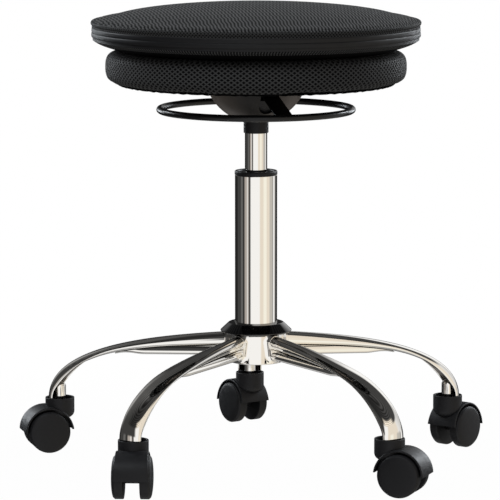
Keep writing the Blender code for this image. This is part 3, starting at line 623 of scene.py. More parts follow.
# %% Collar on the hub
trim_foot, trim_top, _ = span("hub_trim_collar")
TRIM_RADIUS = 0.0425
TRIM_LIP = 0.0022
TRIM_SHOULDER = 0.0325
grip = COLUMN_RADIUS + LOOSE
turned_piece("hub_collar", "base", "gloss_black", gloss_black, "hub_trim_collar", corners=[
    (grip, trim_foot, 0),
    (HUB_RADIUS, trim_foot, 0.0004),
    (TRIM_RADIUS - 0.0012, trim_foot + 0.0008, 0.001),
    (TRIM_RADIUS, trim_foot + TRIM_LIP, 0.0008),
    (TRIM_SHOULDER, trim_top - 0.0006, 0.0024),
    (grip + 0.0012, trim_top, 0.0004),
    (grip, trim_top, 0.0004),
])

# %% Socket of the gas tube
LIFT_RADIUS = 0.01475
LIFT_FLANGE = 0.01975
FLANGE_FOOT, FLANGE_TOP = 0.4113, 0.4153
turned_piece("lift_socket", "seat", "black_plastic", matt_black, "taper_socket", corners=[
    (GAS_RADIUS + LOOSE, socket_foot, EDGE),
    (LIFT_RADIUS, socket_foot, 0.001),
    (LIFT_RADIUS, FLANGE_FOOT, 0),
    (LIFT_FLANGE, FLANGE_FOOT, 0.0005),
    (LIFT_FLANGE, FLANGE_TOP, 0.0005),
    (LIFT_RADIUS, FLANGE_TOP, 0),
    (LIFT_RADIUS, socket_top, 0),
    (GAS_RADIUS - 0.0005, socket_top, 0),
])

# %% [markdown]
# ## The legs
#
# Each leg starts as a round tube at the hub, is pressed flat along the bend, and opens into a channel at the tip,
# where it wraps the socket of the caster stem. The top line of the leg is one cubic curve, and the section square to
# it is two half ellipses: the crown above and the hollow below. As the hollow's depth passes the crown's edge, the
# closed tube turns into an open channel, so one formula makes the whole leg. Plating hardly reaches into a narrow
# channel, so the inside of the channel has a rougher chrome of its own, and its dark colour is painted shade of the
# channel.

# %% Leg sizes
LEG_COUNT = 5
FIRST_LEG = radians(-124.2)
STEM_CIRCLE = 0.2477
LEG_TUBE = 0.016
LEG_FALL = radians(5.6)
LEG_HANDLES = (0.100, 0.0625)  # lengths of the handles of the top line at the root and the tip
ROOT_DROP = 0.0006
TIP_REACH = 0.0126
LEG_ROOT = np.array((HUB_RADIUS, hub_top - ROOT_DROP))
LEG_ROOT_HANDLE = LEG_ROOT + LEG_HANDLES[0] * np.array((cos(LEG_FALL), -sin(LEG_FALL)))
LEG_TIP = np.array((STEM_CIRCLE + TIP_REACH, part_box("leg_1")[0].z))
LEG_TIP_HANDLE = LEG_TIP + (0, LEG_HANDLES[1])
LEG_FLAT = (0.031, 0.0082)
LEG_END = (0.0295, 0.0072)
CHANNEL_DEPTH = 0.010
CHANNEL_WALL = 0.003
LIP = 0.002
SEAM = 0.0004
LEG_START = -0.0135  # shares of the top line: where the leg starts in the hub, and where its section changes
PRESSED = (0.0, 0.58)
OPENED = (0.60, 0.85)
NARROWED = (0.70, 1.0)
EDGE_DOWN = (0.45, 0.82)
EDGE_UP = (0.84, 1.0)
CHANNEL_FROM = 0.66


# %% Leg curve and section
def ease(start, end, value):
    """Smooth step from 0 at start to 1 at end: s * s * (3 - 2 s)."""
    share = np.clip((value - start) / (end - start), 0, 1)
    return share * share * (3 - 2 * share)


def mix(low, high, share):
    """Value that goes from low to high with the share."""
    return low + (high - low) * share


def leg_line(t):
    """Point and outward normal, as (radius, height), on the cubic curve along the top of a leg."""
    t = t[:, None]
    s = 1 - t
    point = s**3 * LEG_ROOT + 3 * s * s * t * LEG_ROOT_HANDLE
    point = point + 3 * s * t * t * LEG_TIP_HANDLE + t**3 * LEG_TIP
    along = s * s * (LEG_ROOT_HANDLE - LEG_ROOT) + 2 * s * t * (LEG_TIP_HANDLE - LEG_ROOT_HANDLE)
    along = along + t * t * (LEG_TIP - LEG_TIP_HANDLE)
    along /= np.linalg.norm(along, axis=1, keepdims=True)
    return point, np.stack([-along[:, 1], along[:, 0]], -1)


def leg_section(t):
    """Half width, depth of the side edges, depth of the underside and half width of the hollow at t."""
    flat = ease(*PRESSED, t)
    opened = ease(*OPENED, t)
    depth = mix(LEG_TUBE, LEG_FLAT[1], flat)
    half_width = mix(mix(LEG_TUBE, LEG_FLAT[0], flat), LEG_END[0], ease(*NARROWED, t)) / 2
    edge = mix(depth / 2, CHANNEL_DEPTH, ease(*EDGE_DOWN, t))
    edge = mix(edge, LEG_END[1], ease(*EDGE_UP, t))
    return half_width, edge, mix(depth, CHANNEL_WALL, opened), half_width - mix(SEAM, LIP, opened)


# %% Leg grids
def on_leg(t, depth, across):
    """Points of a leg that lies along +X: depth is measured down from the top line, across is sideways."""
    point, normal = leg_line(t)
    level = point[:, None] - normal[:, None] * depth[..., None]
    return np.stack([level[..., 0], across, level[..., 1]], -1)


def leg_grids(stations=110, crown_steps=32, lip_steps=4):
    """Outside and inside of the leg: over the crown from lip to lip, and through the hollow between them."""
    t = np.linspace(LEG_START, 1.0, stations)
    half_width, edge, underside, hollow = (value[:, None] for value in leg_section(t))
    a = np.linspace(0, pi, crown_steps + 1)
    b = np.linspace(0, pi, lip_steps + 1)
    lip = (half_width - hollow) / 2
    middle = half_width - lip
    crown = on_leg(t, edge - edge * np.sin(a), half_width * np.cos(a))
    left = on_leg(t, edge + lip * np.sin(b), -middle - lip * np.cos(b))
    inside = on_leg(t, edge + (underside - edge) * np.sin(a), -hollow * np.cos(a))
    right = on_leg(t, edge + lip * np.sin(b), middle - lip * np.cos(b))
    return t, np.concatenate([right, crown, left], axis=1), crown, inside


def turn_about_column(points, angle):
    """Points turned about Z."""
    return points @ np.array(Matrix.Rotation(angle, 3, "Z").transposed())


# %% Legs
def leg_angle(k):
    """Angle of a leg about the column."""
    return FIRST_LEG + 2 * pi * k / LEG_COUNT


def on_each_leg(name, grids, node=None, make=rings, finishes=(chrome,), numbers=None):
    """Chrome piece on every leg, from grids of a leg that lies along +X. make gives the patch of a grid."""
    for k in range(LEG_COUNT):
        patches = [make(turn_about_column(grid, leg_angle(k))) for grid in grids]
        made = piece(f"{name}_{k + 1}", patches, *finishes, numbers=numbers)
        put(made, "base", "chrome", *([f"{node}_{k + 1}"] if node else []))


t, shell, crown, hollow = leg_grids()
opened = np.searchsorted(t, CHANNEL_FROM)
ends = [np.stack([crown[i], hollow[i, ::-1]]) for i in (0, -1)]
leg_parts = [shell, hollow[: opened + 1], *ends, hollow[opened:]]
on_each_leg("formed_leg", leg_parts, "leg", patch, (chrome, shaded_channel_chrome), [0, 0, 0, 0, 1])

# %% [markdown]
# ## The braces
#
# A second, thinner tube runs under each leg and is pinched flat where it meets it. A plain tube could be cut off along
# the leg with a Boolean. Here each ring of the tube is cut by a formula instead, which keeps the quads even and the
# reflections clean.

# %% Braces
BRACE_TUBE = 0.0128
BRACE_LENGTH = 0.143
BRACE_PINCH = 0.036
BRACE_FALL = radians(2.2)
BRACE_TIP = 0.0016
BRACE_CUT = (-0.95, 0.98)  # limits of the sine of the cut


def leg_underside(t):
    """Lowest point of the leg at t, as (radius, height)."""
    point, normal = leg_line(t)
    return point - normal * leg_section(t)[2][:, None]


def brace_grid(stations=44, steps=40):
    """Rings of the brace: circles cut flat 0.3 mm under the leg, and sinking into it towards the pinched end."""
    t = np.linspace(LEG_START, 1, 2000)
    radius = leg_underside(t)[:, 0]
    end = HUB_RADIUS + BRACE_LENGTH
    t = np.interp(np.linspace(radius[0], end, stations), radius, t)
    limit = leg_underside(t)
    half = BRACE_TUBE / 2
    root_top = LEG_ROOT[1] - LEG_TUBE
    foot = root_top - BRACE_TUBE - (limit[:, 0] - HUB_RADIUS) * np.tan(BRACE_FALL)
    foot = mix(foot, limit[:, 1] - LOOSE - BRACE_TIP, ease(end - BRACE_PINCH, end, limit[:, 0]))
    middle = foot + half
    chord = np.arcsin(np.clip((limit[:, 1] - LOOSE - middle) / half, *BRACE_CUT))[:, None]
    a = mix(chord, -pi - chord, np.linspace(0, 1, steps + 1))
    x = np.broadcast_to(limit[:, :1], a.shape)
    return np.stack([x, half * np.cos(a), middle[:, None] + half * np.sin(a)], -1)


on_each_leg("leg_brace", [capped(brace_grid())], "brace")

# %% [markdown]
# ## The weld flares
#
# Leg and brace are welded to the hub, and the weld is ground to a smooth flare and plated over with the rest. A bevel
# along a Boolean's seam could give it, but such seams shade badly in chrome. So the flare is a surface of its own, a
# quarter circle carried round the outline of both tubes.

# %% Weld flares
FLARE = 0.005
FLARE_INSET = 0.0004
FLARE_ROOT = 0.002
leg_axis = LEG_ROOT[1] - LEG_TUBE / 2
brace_axis = LEG_ROOT[1] - LEG_TUBE - BRACE_TUBE / 2


def flare_grid(steps=96, fillet_steps=9):
    """Fillet from the outline round leg and brace to the hub.

    The outline is the hull of two circles: in each direction, the point of the circle that reaches further. A quarter
    circle leads from it to the hub, whose surface is x = sqrt(hub radius^2 - y^2).
    """
    a = 2 * pi * np.arange(steps) / steps
    on_circle = leg_axis * np.sin(a) + LEG_TUBE / 2 > brace_axis * np.sin(a) + BRACE_TUBE / 2
    radius = np.where(on_circle, LEG_TUBE, BRACE_TUBE) / 2
    middle = np.where(on_circle, leg_axis, brace_axis)
    b = np.linspace(0, pi / 2, fillet_steps)[:, None]
    reach = radius + FLARE * (1 - np.cos(b))
    y = reach * np.cos(a)
    z = np.clip(middle + reach * np.sin(a), hub_foot + FLARE_INSET, hub_top - FLARE_INSET)
    x = np.sqrt(HUB_RADIUS**2 - y**2) + FLARE * (1 - np.sin(b))
    fillet = np.stack([x, y, z], -1)
    return capped(np.concatenate([fillet, fillet[-1:] - (FLARE_ROOT, 0, 0)]))


on_each_leg("weld_flare", [flare_grid()])

# %% [markdown]
# ## The stem sockets
#
# The tip of each leg closes round a short tube with a rounded end, which holds the stem of the caster. It is turned
# about its own axis and then moved out to the tip of the leg.

# %% Stem sockets
SOCKET_BORE = 0.00565
SOCKET_WALL = 0.00745
COLLAR_TOP = 0.065
SOCKET_FOOT = COLLAR_TOP - 0.0065
SOCKET_TOP = COLLAR_TOP + 0.0185
SOCKET_END = 0.0015

socket_profile = rounded([
    (0, SOCKET_TOP - SOCKET_END, 0),
    (SOCKET_BORE, SOCKET_TOP - SOCKET_END, 0),
    (SOCKET_BORE, SOCKET_FOOT, 0.0003),
    (SOCKET_WALL, SOCKET_FOOT, 0.0006),
    (SOCKET_WALL, SOCKET_TOP, 0.005),
    (0, SOCKET_TOP, 0),
])
socket_grid = lathe(socket_profile, 48)
socket_grid[..., 0] += STEM_CIRCLE
on_each_leg("caster_socket", [socket_grid], "stem_socket")

# %% [markdown]
# ## The casters
#
# A caster has two wheels on one axle, and a moulded hood between and over them with a collar for the stem. The hood is
# three shapes joined: an arch swept round the axle, a web between the wheels that is a disc sector with a boss, and
# the turned collar with its cup. They are made once, joined with Booleans, and placed under each leg. The arch narrows
# towards its top, as a moulding does so that it leaves the tool.

# %% Caster sizes
WHEEL_RADIUS = 0.025
TRAIL = 0.0163
CASTER_TURN = radians(31.7)
HOOD_OUTSIDE = 0.0298
HOOD_INSIDE = 0.0278
HOOD_WIDTHS = (0.0415, 0.0375)
HOOD_LIPS = (radians(0.5), pi - radians(6.5))
WEB = 0.0089
BOSS = 0.0072
COLLAR_RADIUS = 0.0176
COLLAR_FOOT = 0.040
CUP_RADIUS = 0.0156
CUP_FLOOR = COLLAR_TOP - 0.009
STEM_BORE = 0.00565
BORE_FOOT = CUP_FLOOR - 0.0163


# %% Arch, web and collar
def arch_grid(steps=72):
    """Rounded bar swept round the axle: (trail + r cos a, y, wheel radius + r sin a)."""
    half = HOOD_WIDTHS[0] / 2
    bar = rounded([
        (HOOD_INSIDE, -half, 0.0003),
        (HOOD_OUTSIDE, -half, 0.0013),
        (HOOD_OUTSIDE, half, 0.0013),
        (HOOD_INSIDE, half, 0.0003),
    ], steps=5, closed=True)
    a = np.linspace(*HOOD_LIPS, steps)[:, None]
    radius = np.broadcast_to(bar[:, 0], (steps, len(bar)))
    narrowed = mix(1.0, HOOD_WIDTHS[1] / HOOD_WIDTHS[0], np.sin(a) * radius / HOOD_OUTSIDE)
    return np.stack([TRAIL + radius * np.cos(a), bar[:, 1] * narrowed, WHEEL_RADIUS + radius * np.sin(a)], -1)


def web_grid(steps=72):
    """Plate between the wheels. Its outline is the arch's middle above the axle and a round boss below it."""
    upper = np.linspace(*HOOD_LIPS, steps)
    lower = np.linspace(pi, 2 * pi, steps // 2)
    angle = np.concatenate([upper, lower])
    middle = (HOOD_OUTSIDE + HOOD_INSIDE) / 2
    radius = np.concatenate([np.full(len(upper), middle), np.full(len(lower), BOSS)])
    outline = np.stack([TRAIL + radius * np.cos(angle), WHEEL_RADIUS + radius * np.sin(angle)], -1)
    rows = [(0.0, -WEB), (0.97, -WEB), (1.0, -WEB + 0.0004), (1.0, WEB - 0.0004), (0.97, WEB), (0.0, WEB)]
    axle = np.array((TRAIL, WHEEL_RADIUS))
    grid = np.empty((len(rows), len(outline), 3))
    for row, (share, y) in zip(grid, rows):
        row[:, [0, 2]] = axle + share * (outline - axle)
        row[:, 1] = y
    return grid


def collar_grid():
    """Turned collar, rounded below like a bowl, with the cup that the stem socket stands in."""
    profile = rounded([
        (0, COLLAR_FOOT, 0),
        (COLLAR_RADIUS, COLLAR_FOOT, 0.0085),
        (COLLAR_RADIUS, COLLAR_TOP, 0.0006),
        (CUP_RADIUS, COLLAR_TOP, 0.0006),
        (CUP_RADIUS, CUP_FLOOR, 0.001),
        (0, CUP_FLOOR, 0),
    ], steps=10)
    return lathe(profile, 72)


# %% Caster hood
def keep_shape(made):
    """Make the shape that an object's modifiers give it its own mesh."""
    graph = bpy.context.evaluated_depsgraph_get()
    mesh = bpy.data.meshes.new_from_object(made.evaluated_get(graph))
    made.modifiers.clear()
    made.data = mesh


def join(target, tool, operation):
    """Boolean of a target with a tool, made the target's own mesh. The tool is removed."""
    modifier = target.modifiers.new(operation, "BOOLEAN")
    modifier.operation, modifier.solver, modifier.object = operation, "EXACT", tool
    keep_shape(target)
    bpy.data.objects.remove(tool, do_unlink=True)


hood = piece("hood_master", [rings(capped(arch_grid()))], nylon)
join(hood, piece("web", [rings(web_grid())]), "UNION")
join(hood, piece("collar", [rings(collar_grid())]), "UNION")
bore = [(0, BORE_FOOT), (STEM_BORE, BORE_FOOT), (STEM_BORE, COLLAR_TOP), (0, COLLAR_TOP)]
join(hood, piece("bore", [turned(bore, 32)]), "DIFFERENCE")
shade(hood.data, radians(32))
print("hood master", triangles(hood), "triangles")

# %% [markdown]
# ## The caster wheels
#
# The wheels are plain mouldings with a narrow tread and a gently domed face. A bevelled cylinder would stay flat in
# the middle, so the face is a quarter of an ellipse turned about the axle. The bore ends inside the wheel, because
# the axle doesn't show.

# %% Caster wheels
WHEEL_INSIDE = 0.0095
WHEEL_SHOULDER = 0.0193
WHEEL_FACE = 0.0205
WHEEL_DOME = 0.0033
WHEEL_EDGE = 0.0012
WHEEL_SKIN = 0.003
AXLE_BORE = 0.00315


def wheel_profile(steps=28):
    """Inner face, tread and shoulder, then the quarter ellipse of the domed face, as (radius, along the axle)."""
    rim = rounded([
        (AXLE_BORE, WHEEL_INSIDE, 0),
        (WHEEL_RADIUS, WHEEL_INSIDE, 0.0008),
        (WHEEL_RADIUS, WHEEL_SHOULDER, WHEEL_EDGE),
        (WHEEL_RADIUS - WHEEL_EDGE, WHEEL_FACE, 0),
    ])
    a = np.linspace(0, pi / 2, steps)[1:]
    face = np.stack([(WHEEL_RADIUS - WHEEL_EDGE) * np.cos(a), WHEEL_FACE + WHEEL_DOME * np.sin(a)], -1)
    bore_end = WHEEL_FACE + WHEEL_DOME - WHEEL_SKIN
    bore = [(0, bore_end), (AXLE_BORE, bore_end), (AXLE_BORE, WHEEL_INSIDE)]
    return np.concatenate([rim, face, bore])


def wheel_grid(side):
    """Wheel turned about its axle, which is local Y, and moved to the axle's place behind the stem."""
    x, y, z = np.moveaxis(lathe(wheel_profile(), 96), -1, 0)
    return np.stack([TRAIL + x, side * z, WHEEL_RADIUS + y], -1)


# %% Casters under the legs
for k in range(LEG_COUNT):
    number = k + 1
    turn = leg_angle(k) + CASTER_TURN
    stem = np.array((STEM_CIRCLE * cos(leg_angle(k)), STEM_CIRCLE * sin(leg_angle(k)), 0))
    placing = Matrix.Translation(stem) @ Matrix.Rotation(turn, 4, "Z")
    mesh = hood.data.copy()
    mesh.transform(placing)
    made = bpy.data.objects.new(f"caster_cover_{number}", mesh)
    scene.collection.objects.link(made)
    put(made, f"caster_{number}", "caster_nylon", f"caster_hood_{number}")
    for side, word in ((1, "left"), (-1, "right")):
        grid = turn_about_column(wheel_grid(side), turn) + stem
        made = piece(f"caster_wheel_{word}_{number}", [rings(grid)], nylon)
        put(made, f"wheel_{word}_{number}", "caster_nylon", f"wheel_{word}_{number}")
bpy.data.objects.remove(hood, do_unlink=True)

# %% [markdown]
# ## The seat mechanism and the ring release
#
# A pressed steel cup carries the seat, and the bar of the release ring passes through a slot on each side of it. The
# cup is a sphere's lower part with a flat flange, turned as one profile. The slots go straight across it, so one tool
# cuts both of them with a Boolean.

# %% Cup sizes
DOME_RADIUS = 0.0616
DOME_WALL = 0.002
DOME_FLOOR_RADIUS = 0.020
DOME_HOLE = 0.01505
dome_floor, dome_top, _ = span("mechanism_dome")
FLANGE_RADIUS = 0.082
LEVER_ANGLE = radians(17.4)
SLOT_HALF = 0.011
SLOT_TOPS = (0.0004, 0.0046)  # above the bar's underside, at the front and the back
SLOT_FLOOR = dome_floor + 0.0102
BAR_THICKNESS = 0.003
bar_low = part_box("release_ring")[1].z - BAR_THICKNESS
dome_middle = dome_floor + sqrt(DOME_RADIUS**2 - DOME_FLOOR_RADIUS**2)


def sphere_arc(radius, low, high, steps=40):
    """Points of (r, z) on the sphere's side between two heights: r = sqrt(radius^2 - (z - middle)^2)."""
    a = np.linspace(np.arcsin((low - dome_middle) / radius), np.arcsin((high - dome_middle) / radius), steps)
    return np.stack([radius * np.cos(a), dome_middle + radius * np.sin(a)], -1)


# %% Cup with its slots
flange_low = dome_top - DOME_WALL
outer = sphere_arc(DOME_RADIUS, dome_floor, flange_low)
inner = sphere_arc(DOME_RADIUS - DOME_WALL, dome_floor + DOME_WALL, dome_top)[::-1]
flange = rounded([
    (outer[-1][0], flange_low, 0),
    (FLANGE_RADIUS, flange_low, 0.0006),
    (FLANGE_RADIUS, dome_top, 0.0006),
    (inner[0][0], dome_top, 0),
])
floor_edge = [(DOME_HOLE, dome_floor + DOME_WALL)]
profile = np.concatenate([[(DOME_HOLE, dome_floor)], outer, flange, inner, floor_edge])
dome = piece("seat_cup", [turned(profile, TURN_STEPS, True)], dome_paint)
a = np.linspace(-pi, 0, 17)
slot_outline = np.stack([SLOT_HALF * np.cos(a), SLOT_FLOOR + SLOT_HALF + SLOT_HALF * np.sin(a)], -1)
slot_ends = []
for y, above in zip((-FLANGE_RADIUS, FLANGE_RADIUS), SLOT_TOPS):
    top = [(SLOT_HALF, bar_low + above), (-SLOT_HALF, bar_low + above)]
    outline = np.concatenate([slot_outline, top])
    slot_ends.append(np.insert(outline, 1, y, axis=1))
slot_grid = turn_about_column(np.stack(slot_ends), LEVER_ANGLE)
join(dome, piece("slot", [rings(capped(slot_grid))]), "DIFFERENCE")
shade(dome.data)
put(dome, "seat", "dome_steel", "mechanism_dome")
cup_only.objects.link(dome)

# %% [markdown]
# Nothing but black shows through the slots, where the mechanism fills the real cup. A thin matt liner behind the
# slots does the same and keeps out the light of the other side.

# %% Liner behind the slots
LINER_GAP = 0.0012
LINER_WALL = 0.001
LINER_ENDS = (dome_floor + 0.005, bar_low - 0.0090)
outer, inner = (
    sphere_arc(DOME_RADIUS - DOME_WALL - gap, *LINER_ENDS) for gap in (LINER_GAP, LINER_GAP + LINER_WALL)
)
liner_line = np.concatenate([outer, inner[::-1]])
put(piece("cup_liner", [turned(liner_line, 96, True)], matt_black), "seat", "black_plastic")

# %% [markdown]
# ## The ring and its bar
#
# The ring is bent from round rod, and a flat bar is welded across it. The ring is a torus, which one turned circle
# gives. The bar is a rounded strip carried along a line with two bends. A curve with a bevel could do that too, but
# the strip has to stay level from side to side, which is plain to see in arrays.

# %% Ring
RING_RADIUS = 0.1135
RING_ROD = 0.004
ring_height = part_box("release_ring")[0].z + RING_ROD

a = 2 * pi * np.arange(24) / 24
rod = np.stack([RING_RADIUS + RING_ROD * np.cos(a), ring_height + RING_ROD * np.sin(a)], -1)
hoop = piece("release_hoop", [turned(rod, 220, True)], black_enamel)
put(hoop, "release_lever", "black_rod", "release_ring")

# %% Bar
BAR_WIDTH = 0.020
BAR_BENDS = (0.041, 0.062)  # from the column, at the front and the back
BAR_BEND_RADIUS = 0.007
BAR_EDGE = 0.0007

bar_middle = bar_low + BAR_THICKNESS / 2
path = rounded([
    (-RING_RADIUS, ring_height, 0),
    (-BAR_BENDS[1], bar_middle, BAR_BEND_RADIUS),
    (BAR_BENDS[0], bar_middle, BAR_BEND_RADIUS),
    (RING_RADIUS, ring_height, 0),
], steps=10)
path = path[np.append(True, np.linalg.norm(np.diff(path, axis=0), axis=1) > WELD)]
ahead = np.gradient(path, axis=0)
ahead /= np.linalg.norm(ahead, axis=1, keepdims=True)
upward = np.stack([-ahead[:, 1], ahead[:, 0]], -1)
corners = [(x * BAR_WIDTH / 2, y * BAR_THICKNESS / 2) for x, y in ((-1, -1), (1, -1), (1, 1), (-1, 1))]
strip = rounded([(*corner, BAR_EDGE) for corner in corners], steps=4, closed=True)
level = path[:, None] + upward[:, None] * strip[:, 1:]
across = np.broadcast_to(strip[:, 0], level.shape[:2])
bar_grid = np.stack([level[..., 0], across, level[..., 1]], -1)
bar_grid = turn_about_column(bar_grid, LEVER_ANGLE - pi / 2)
put(piece("release_bar", [rings(capped(bar_grid))], bar_enamel), "release_lever", "black_rod")

# %% [markdown]
# ## The mesh fabrics
#
# Both covers are spacer mesh: two knitted faces held apart by fine threads. The seat pad wears an open diamond mesh.
# Two sets of slanting strands cross, so a point is on a strand where |sin| of either slanting coordinate is small, and
# in a hole where both are large. The hole is darker, deeper and rougher. The round side of the pad needs a coordinate
# that follows the circle, which is the angle about the column times the radius, worked out from object coordinates so
# that it needs no unwrapping. The top of the cushion is cut from a flat sheet whose ribs run almost from front to
# back, so plain x and y will do there.


# %% Mesh patterns
HOLE_EDGE = (0.40, 0.72)  # heights of the wave between which a strand ends, and between which a rib starts
RIB_EDGE = (0.50, 0.95)


def wave(tree, value):
    """|sin(pi * value)|, which is zero at every whole number."""
    return math(tree, "ABSOLUTE", math(tree, "SINE", math(tree, "MULTIPLY", value, pi)))


def step(tree, value, low, high):
    """Smooth step of a value from 0 at low to 1 at high."""
    return map_range(tree, value, low, high, interpolation_type="SMOOTHSTEP")


def round_coordinates(tree, place, radius):
    """Length round the column, which is the angle times a radius, and the height."""
    axes = add(tree, "SeparateXYZ", {"Vector": place}).outputs
    angle = math(tree, "ARCTAN2", axes["Y"], axes["X"])
    return math(tree, "MULTIPLY", angle, radius), axes["Z"]


def flat_coordinates(tree, place, turn):
    """x and y turned by an angle."""
    flat = add(tree, "Mapping", {"Vector": place, "Rotation": (0, 0, turn)}).outputs["Vector"]
    axes = add(tree, "SeparateXYZ", {"Vector": flat}).outputs
    return axes["X"], axes["Y"]


def diamonds(tree, u, v, width, height):
    """Share of strand in a mesh of diamond holes: 1 on the two sets of slanting strands, 0 in the holes."""
    across = math(tree, "MULTIPLY", u, 1 / width)
    slants = [wave(tree, math(tree, "MULTIPLY_ADD", v, sign / height, across)) for sign in (1, -1)]
    hole = step(tree, math(tree, "MINIMUM", *slants), *HOLE_EDGE)
    return math(tree, "SUBTRACT", 1.0, hole)


def ribs(tree, u, v, pitch, bead, zigzag, length, dip):
    """Share of strand in ribs along v: 1 along the middle of a rib that zigzags and is drawn into beads."""
    swing = math(tree, "PINGPONG", v, length)
    across = math(tree, "MULTIPLY_ADD", swing, zigzag / length, u)
    rib = step(tree, wave(tree, math(tree, "MULTIPLY", across, 1 / pitch)), *RIB_EDGE)
    beads = map_range(tree, wave(tree, math(tree, "MULTIPLY", v, 1 / bead)), 0, 1, dip)
    return math(tree, "MULTIPLY", rib, beads)


# %% [markdown]
# A pattern only says how much of a point is strand. The finish turns that share into colour, roughness and height.
# One noise moves the pattern a little, because knitted cloth is never quite regular, and a finer one stands for the
# fuzz of the yarn. A picture of cloth could be used instead, but it would have to be unwrapped and would repeat.

# %% Helper for mesh finishes
STRAY = 0.0006
STRAY_SCALE = 70.0
FUZZ_SCALE = 2600.0
FUZZ_HEIGHT = 0.12
MESH_ROUGHNESS = (0.95, 0.6)  # in the holes and on the strands
# Colour of the holes: the back layer of the cloth, darkened as painted shade of the hole's depth.
HOLE_SHADE_COLOUR = (0.0022, 0.0022, 0.0025, 1)


def mesh_finish(name, coordinates, pattern, strand, depth, sheen=0.0):
    """Spacer mesh: coordinates give u and v on the cloth, and the pattern gives the share of strand there."""
    material, tree, shader = new_finish(name)
    place = add(tree, "TexCoord").outputs["Object"]
    stray = add(tree, "TexNoise", {"Vector": place, "Scale": STRAY_SCALE, "Detail": 2.0}).outputs["Color"]
    stray = vector_math(tree, "SUBTRACT", stray, (0.5, 0.5, 0.5))
    moved = vector_math(tree, "MULTIPLY_ADD", stray, [STRAY] * 3, place)
    share = pattern(tree, *coordinates(tree, moved))
    fuzz = add(tree, "TexNoise", {"Vector": place, "Scale": FUZZ_SCALE, "Detail": 2.0}).outputs["Fac"]
    thread = ramp(tree, fuzz, list(zip(NOISE_RANGE, (strand * 0.75, strand * 1.25))))
    tree.links.new(mix_colours(tree, share, HOLE_SHADE_COLOUR, thread), shader.inputs["Base Color"])
    tree.links.new(map_range(tree, share, 0, 1, *MESH_ROUGHNESS), shader.inputs["Roughness"])
    level = math(tree, "MULTIPLY_ADD", fuzz, FUZZ_HEIGHT, share)
    bump = add(tree, "Bump", {"Height": level, "Distance": depth, "Strength": 1.0})
    tree.links.new(bump.outputs["Normal"], shader.inputs["Normal"])
    shader.inputs["Sheen Weight"].default_value = sheen
    shader.inputs["Sheen Roughness"].default_value = 0.5
    shader.inputs["Specular IOR Level"].default_value = 0.06
    return material


# %% Mesh finishes
PAD_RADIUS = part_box("seat_pad")[1].x
DIAMOND = (0.0072, 0.0052)
RIB_TURN = radians(-10)
pad_mesh = mesh_finish(
    "diamond_mesh",
    partial(round_coordinates, radius=PAD_RADIUS),
    partial(diamonds, width=DIAMOND[0], height=DIAMOND[1]),
    strand=0.056,
    depth=0.0006,
    sheen=0.010,
)
top_mesh = mesh_finish(
    "rib_mesh",
    partial(flat_coordinates, turn=RIB_TURN),
    partial(ribs, pitch=0.0040, bead=0.0042, zigzag=0.0012, length=0.011, dip=0.65),
    strand=0.079,
    depth=0.0006,
    sheen=0.042,
)
rim_mesh = mesh_finish(
    "rim_mesh",
    partial(round_coordinates, radius=0.194),
    partial(diamonds, width=0.0042, height=0.0040),
    strand=0.046,
    depth=0.0003,
)
under_mesh = mesh_finish(
    "underside_mesh",
    partial(round_coordinates, radius=0.19),
    partial(ribs, pitch=0.0034, bead=0.0030, zigzag=0.0008, length=0.0030, dip=0.5),
    strand=0.075,
    depth=0.0004,
)
band_cloth = hard_finish("satin_tape", (0.0062, 0.0062, 0.0072), 0.0, (0.50, 0.60), 1600, 2e-5, 0.06, 0.24)
# Near-black cloth of the hem and the dust cover; on the underside's lower ring it is painted shade of the gap above
# the seat pad.
black_cloth_and_painted_shade = hard_finish("black_cloth_and_painted_shade", (0.002, 0.002, 0.0022), 0.0, (0.8, 0.95), 1200, 1e-4, 0.2, 0.02)

# %% [markdown]
# ## Swelling a cushion
#
# A padded piece starts as a turned form a little smaller than the finished one. It is remeshed into even quads, and
# Blender's cloth pushes it outwards from inside for twenty frames with gravity off. How far a point may move is
# capped, so the cover draws tight over the filling and keeps its outline. One subdivision then smooths the quads.

# %% Cloth helper
VOXEL = 0.005
SWELL_FRAMES = 20
PRESSURE = 4


def swell(made, limit):
    """Remesh a closed form, inflate it as cloth, cap the move of each point, and subdivide once."""
    remesh = made.modifiers.new("even_quads", "REMESH")
    remesh.mode, remesh.voxel_size = "VOXEL", VOXEL
    keep_shape(made)
    mesh = made.data
    start = np.empty(len(mesh.vertices) * 3, np.float32)
    mesh.vertices.foreach_get("co", start)
    cloth = made.modifiers.new("swelling", "CLOTH")
    cloth.settings.quality = 5
    cloth.settings.mass = 0.3
    cloth.settings.use_pressure = True
    cloth.settings.uniform_pressure_force = PRESSURE
    cloth.settings.effector_weights.gravity = 0
    cloth.point_cache.frame_start, cloth.point_cache.frame_end = 1, SWELL_FRAMES
    for number in range(1, SWELL_FRAMES + 1):
        scene.frame_set(number)
    graph = bpy.context.evaluated_depsgraph_get()
    swollen = np.empty_like(start)
    made.evaluated_get(graph).data.vertices.foreach_get("co", swollen)
    made.modifiers.clear()
    move = (swollen - start).reshape(-1, 3)
    length = np.linalg.norm(move, axis=1, keepdims=True)
    move *= np.minimum(1, limit / np.maximum(length, 1e-9))
    mesh.vertices.foreach_set("co", start + move.ravel())
    scene.frame_set(1)
    smooth = made.modifiers.new("smooth", "SUBSURF")
    smooth.levels = smooth.render_levels = 1
    mesh.shade_smooth()


# %% [markdown]
# ## The seat pad
#
# The lower pad is foam on a plywood disc, with the diamond mesh pulled over it and gathered under the edge. Its
# shoulders are round, its side is almost upright and its foot tucks in.

# %% Seat pad
pad_foot, pad_top, _ = span("seat_pad")
PAD_START = 0.0018
PAD_SIDE = 0.0026
PAD_LIMIT = 0.0022
PAD_SHOULDER = 0.0110
PAD_FOOT = (0.0130, 0.0115)


def quarter(middle, radii, start, steps=14):
    """Quarter of an ellipse about a middle, from a start angle."""
    a = start + np.linspace(0, pi / 2, steps + 1)
    return np.stack([middle[0] + radii[0] * np.cos(a), middle[1] + radii[1] * np.sin(a)], -1)


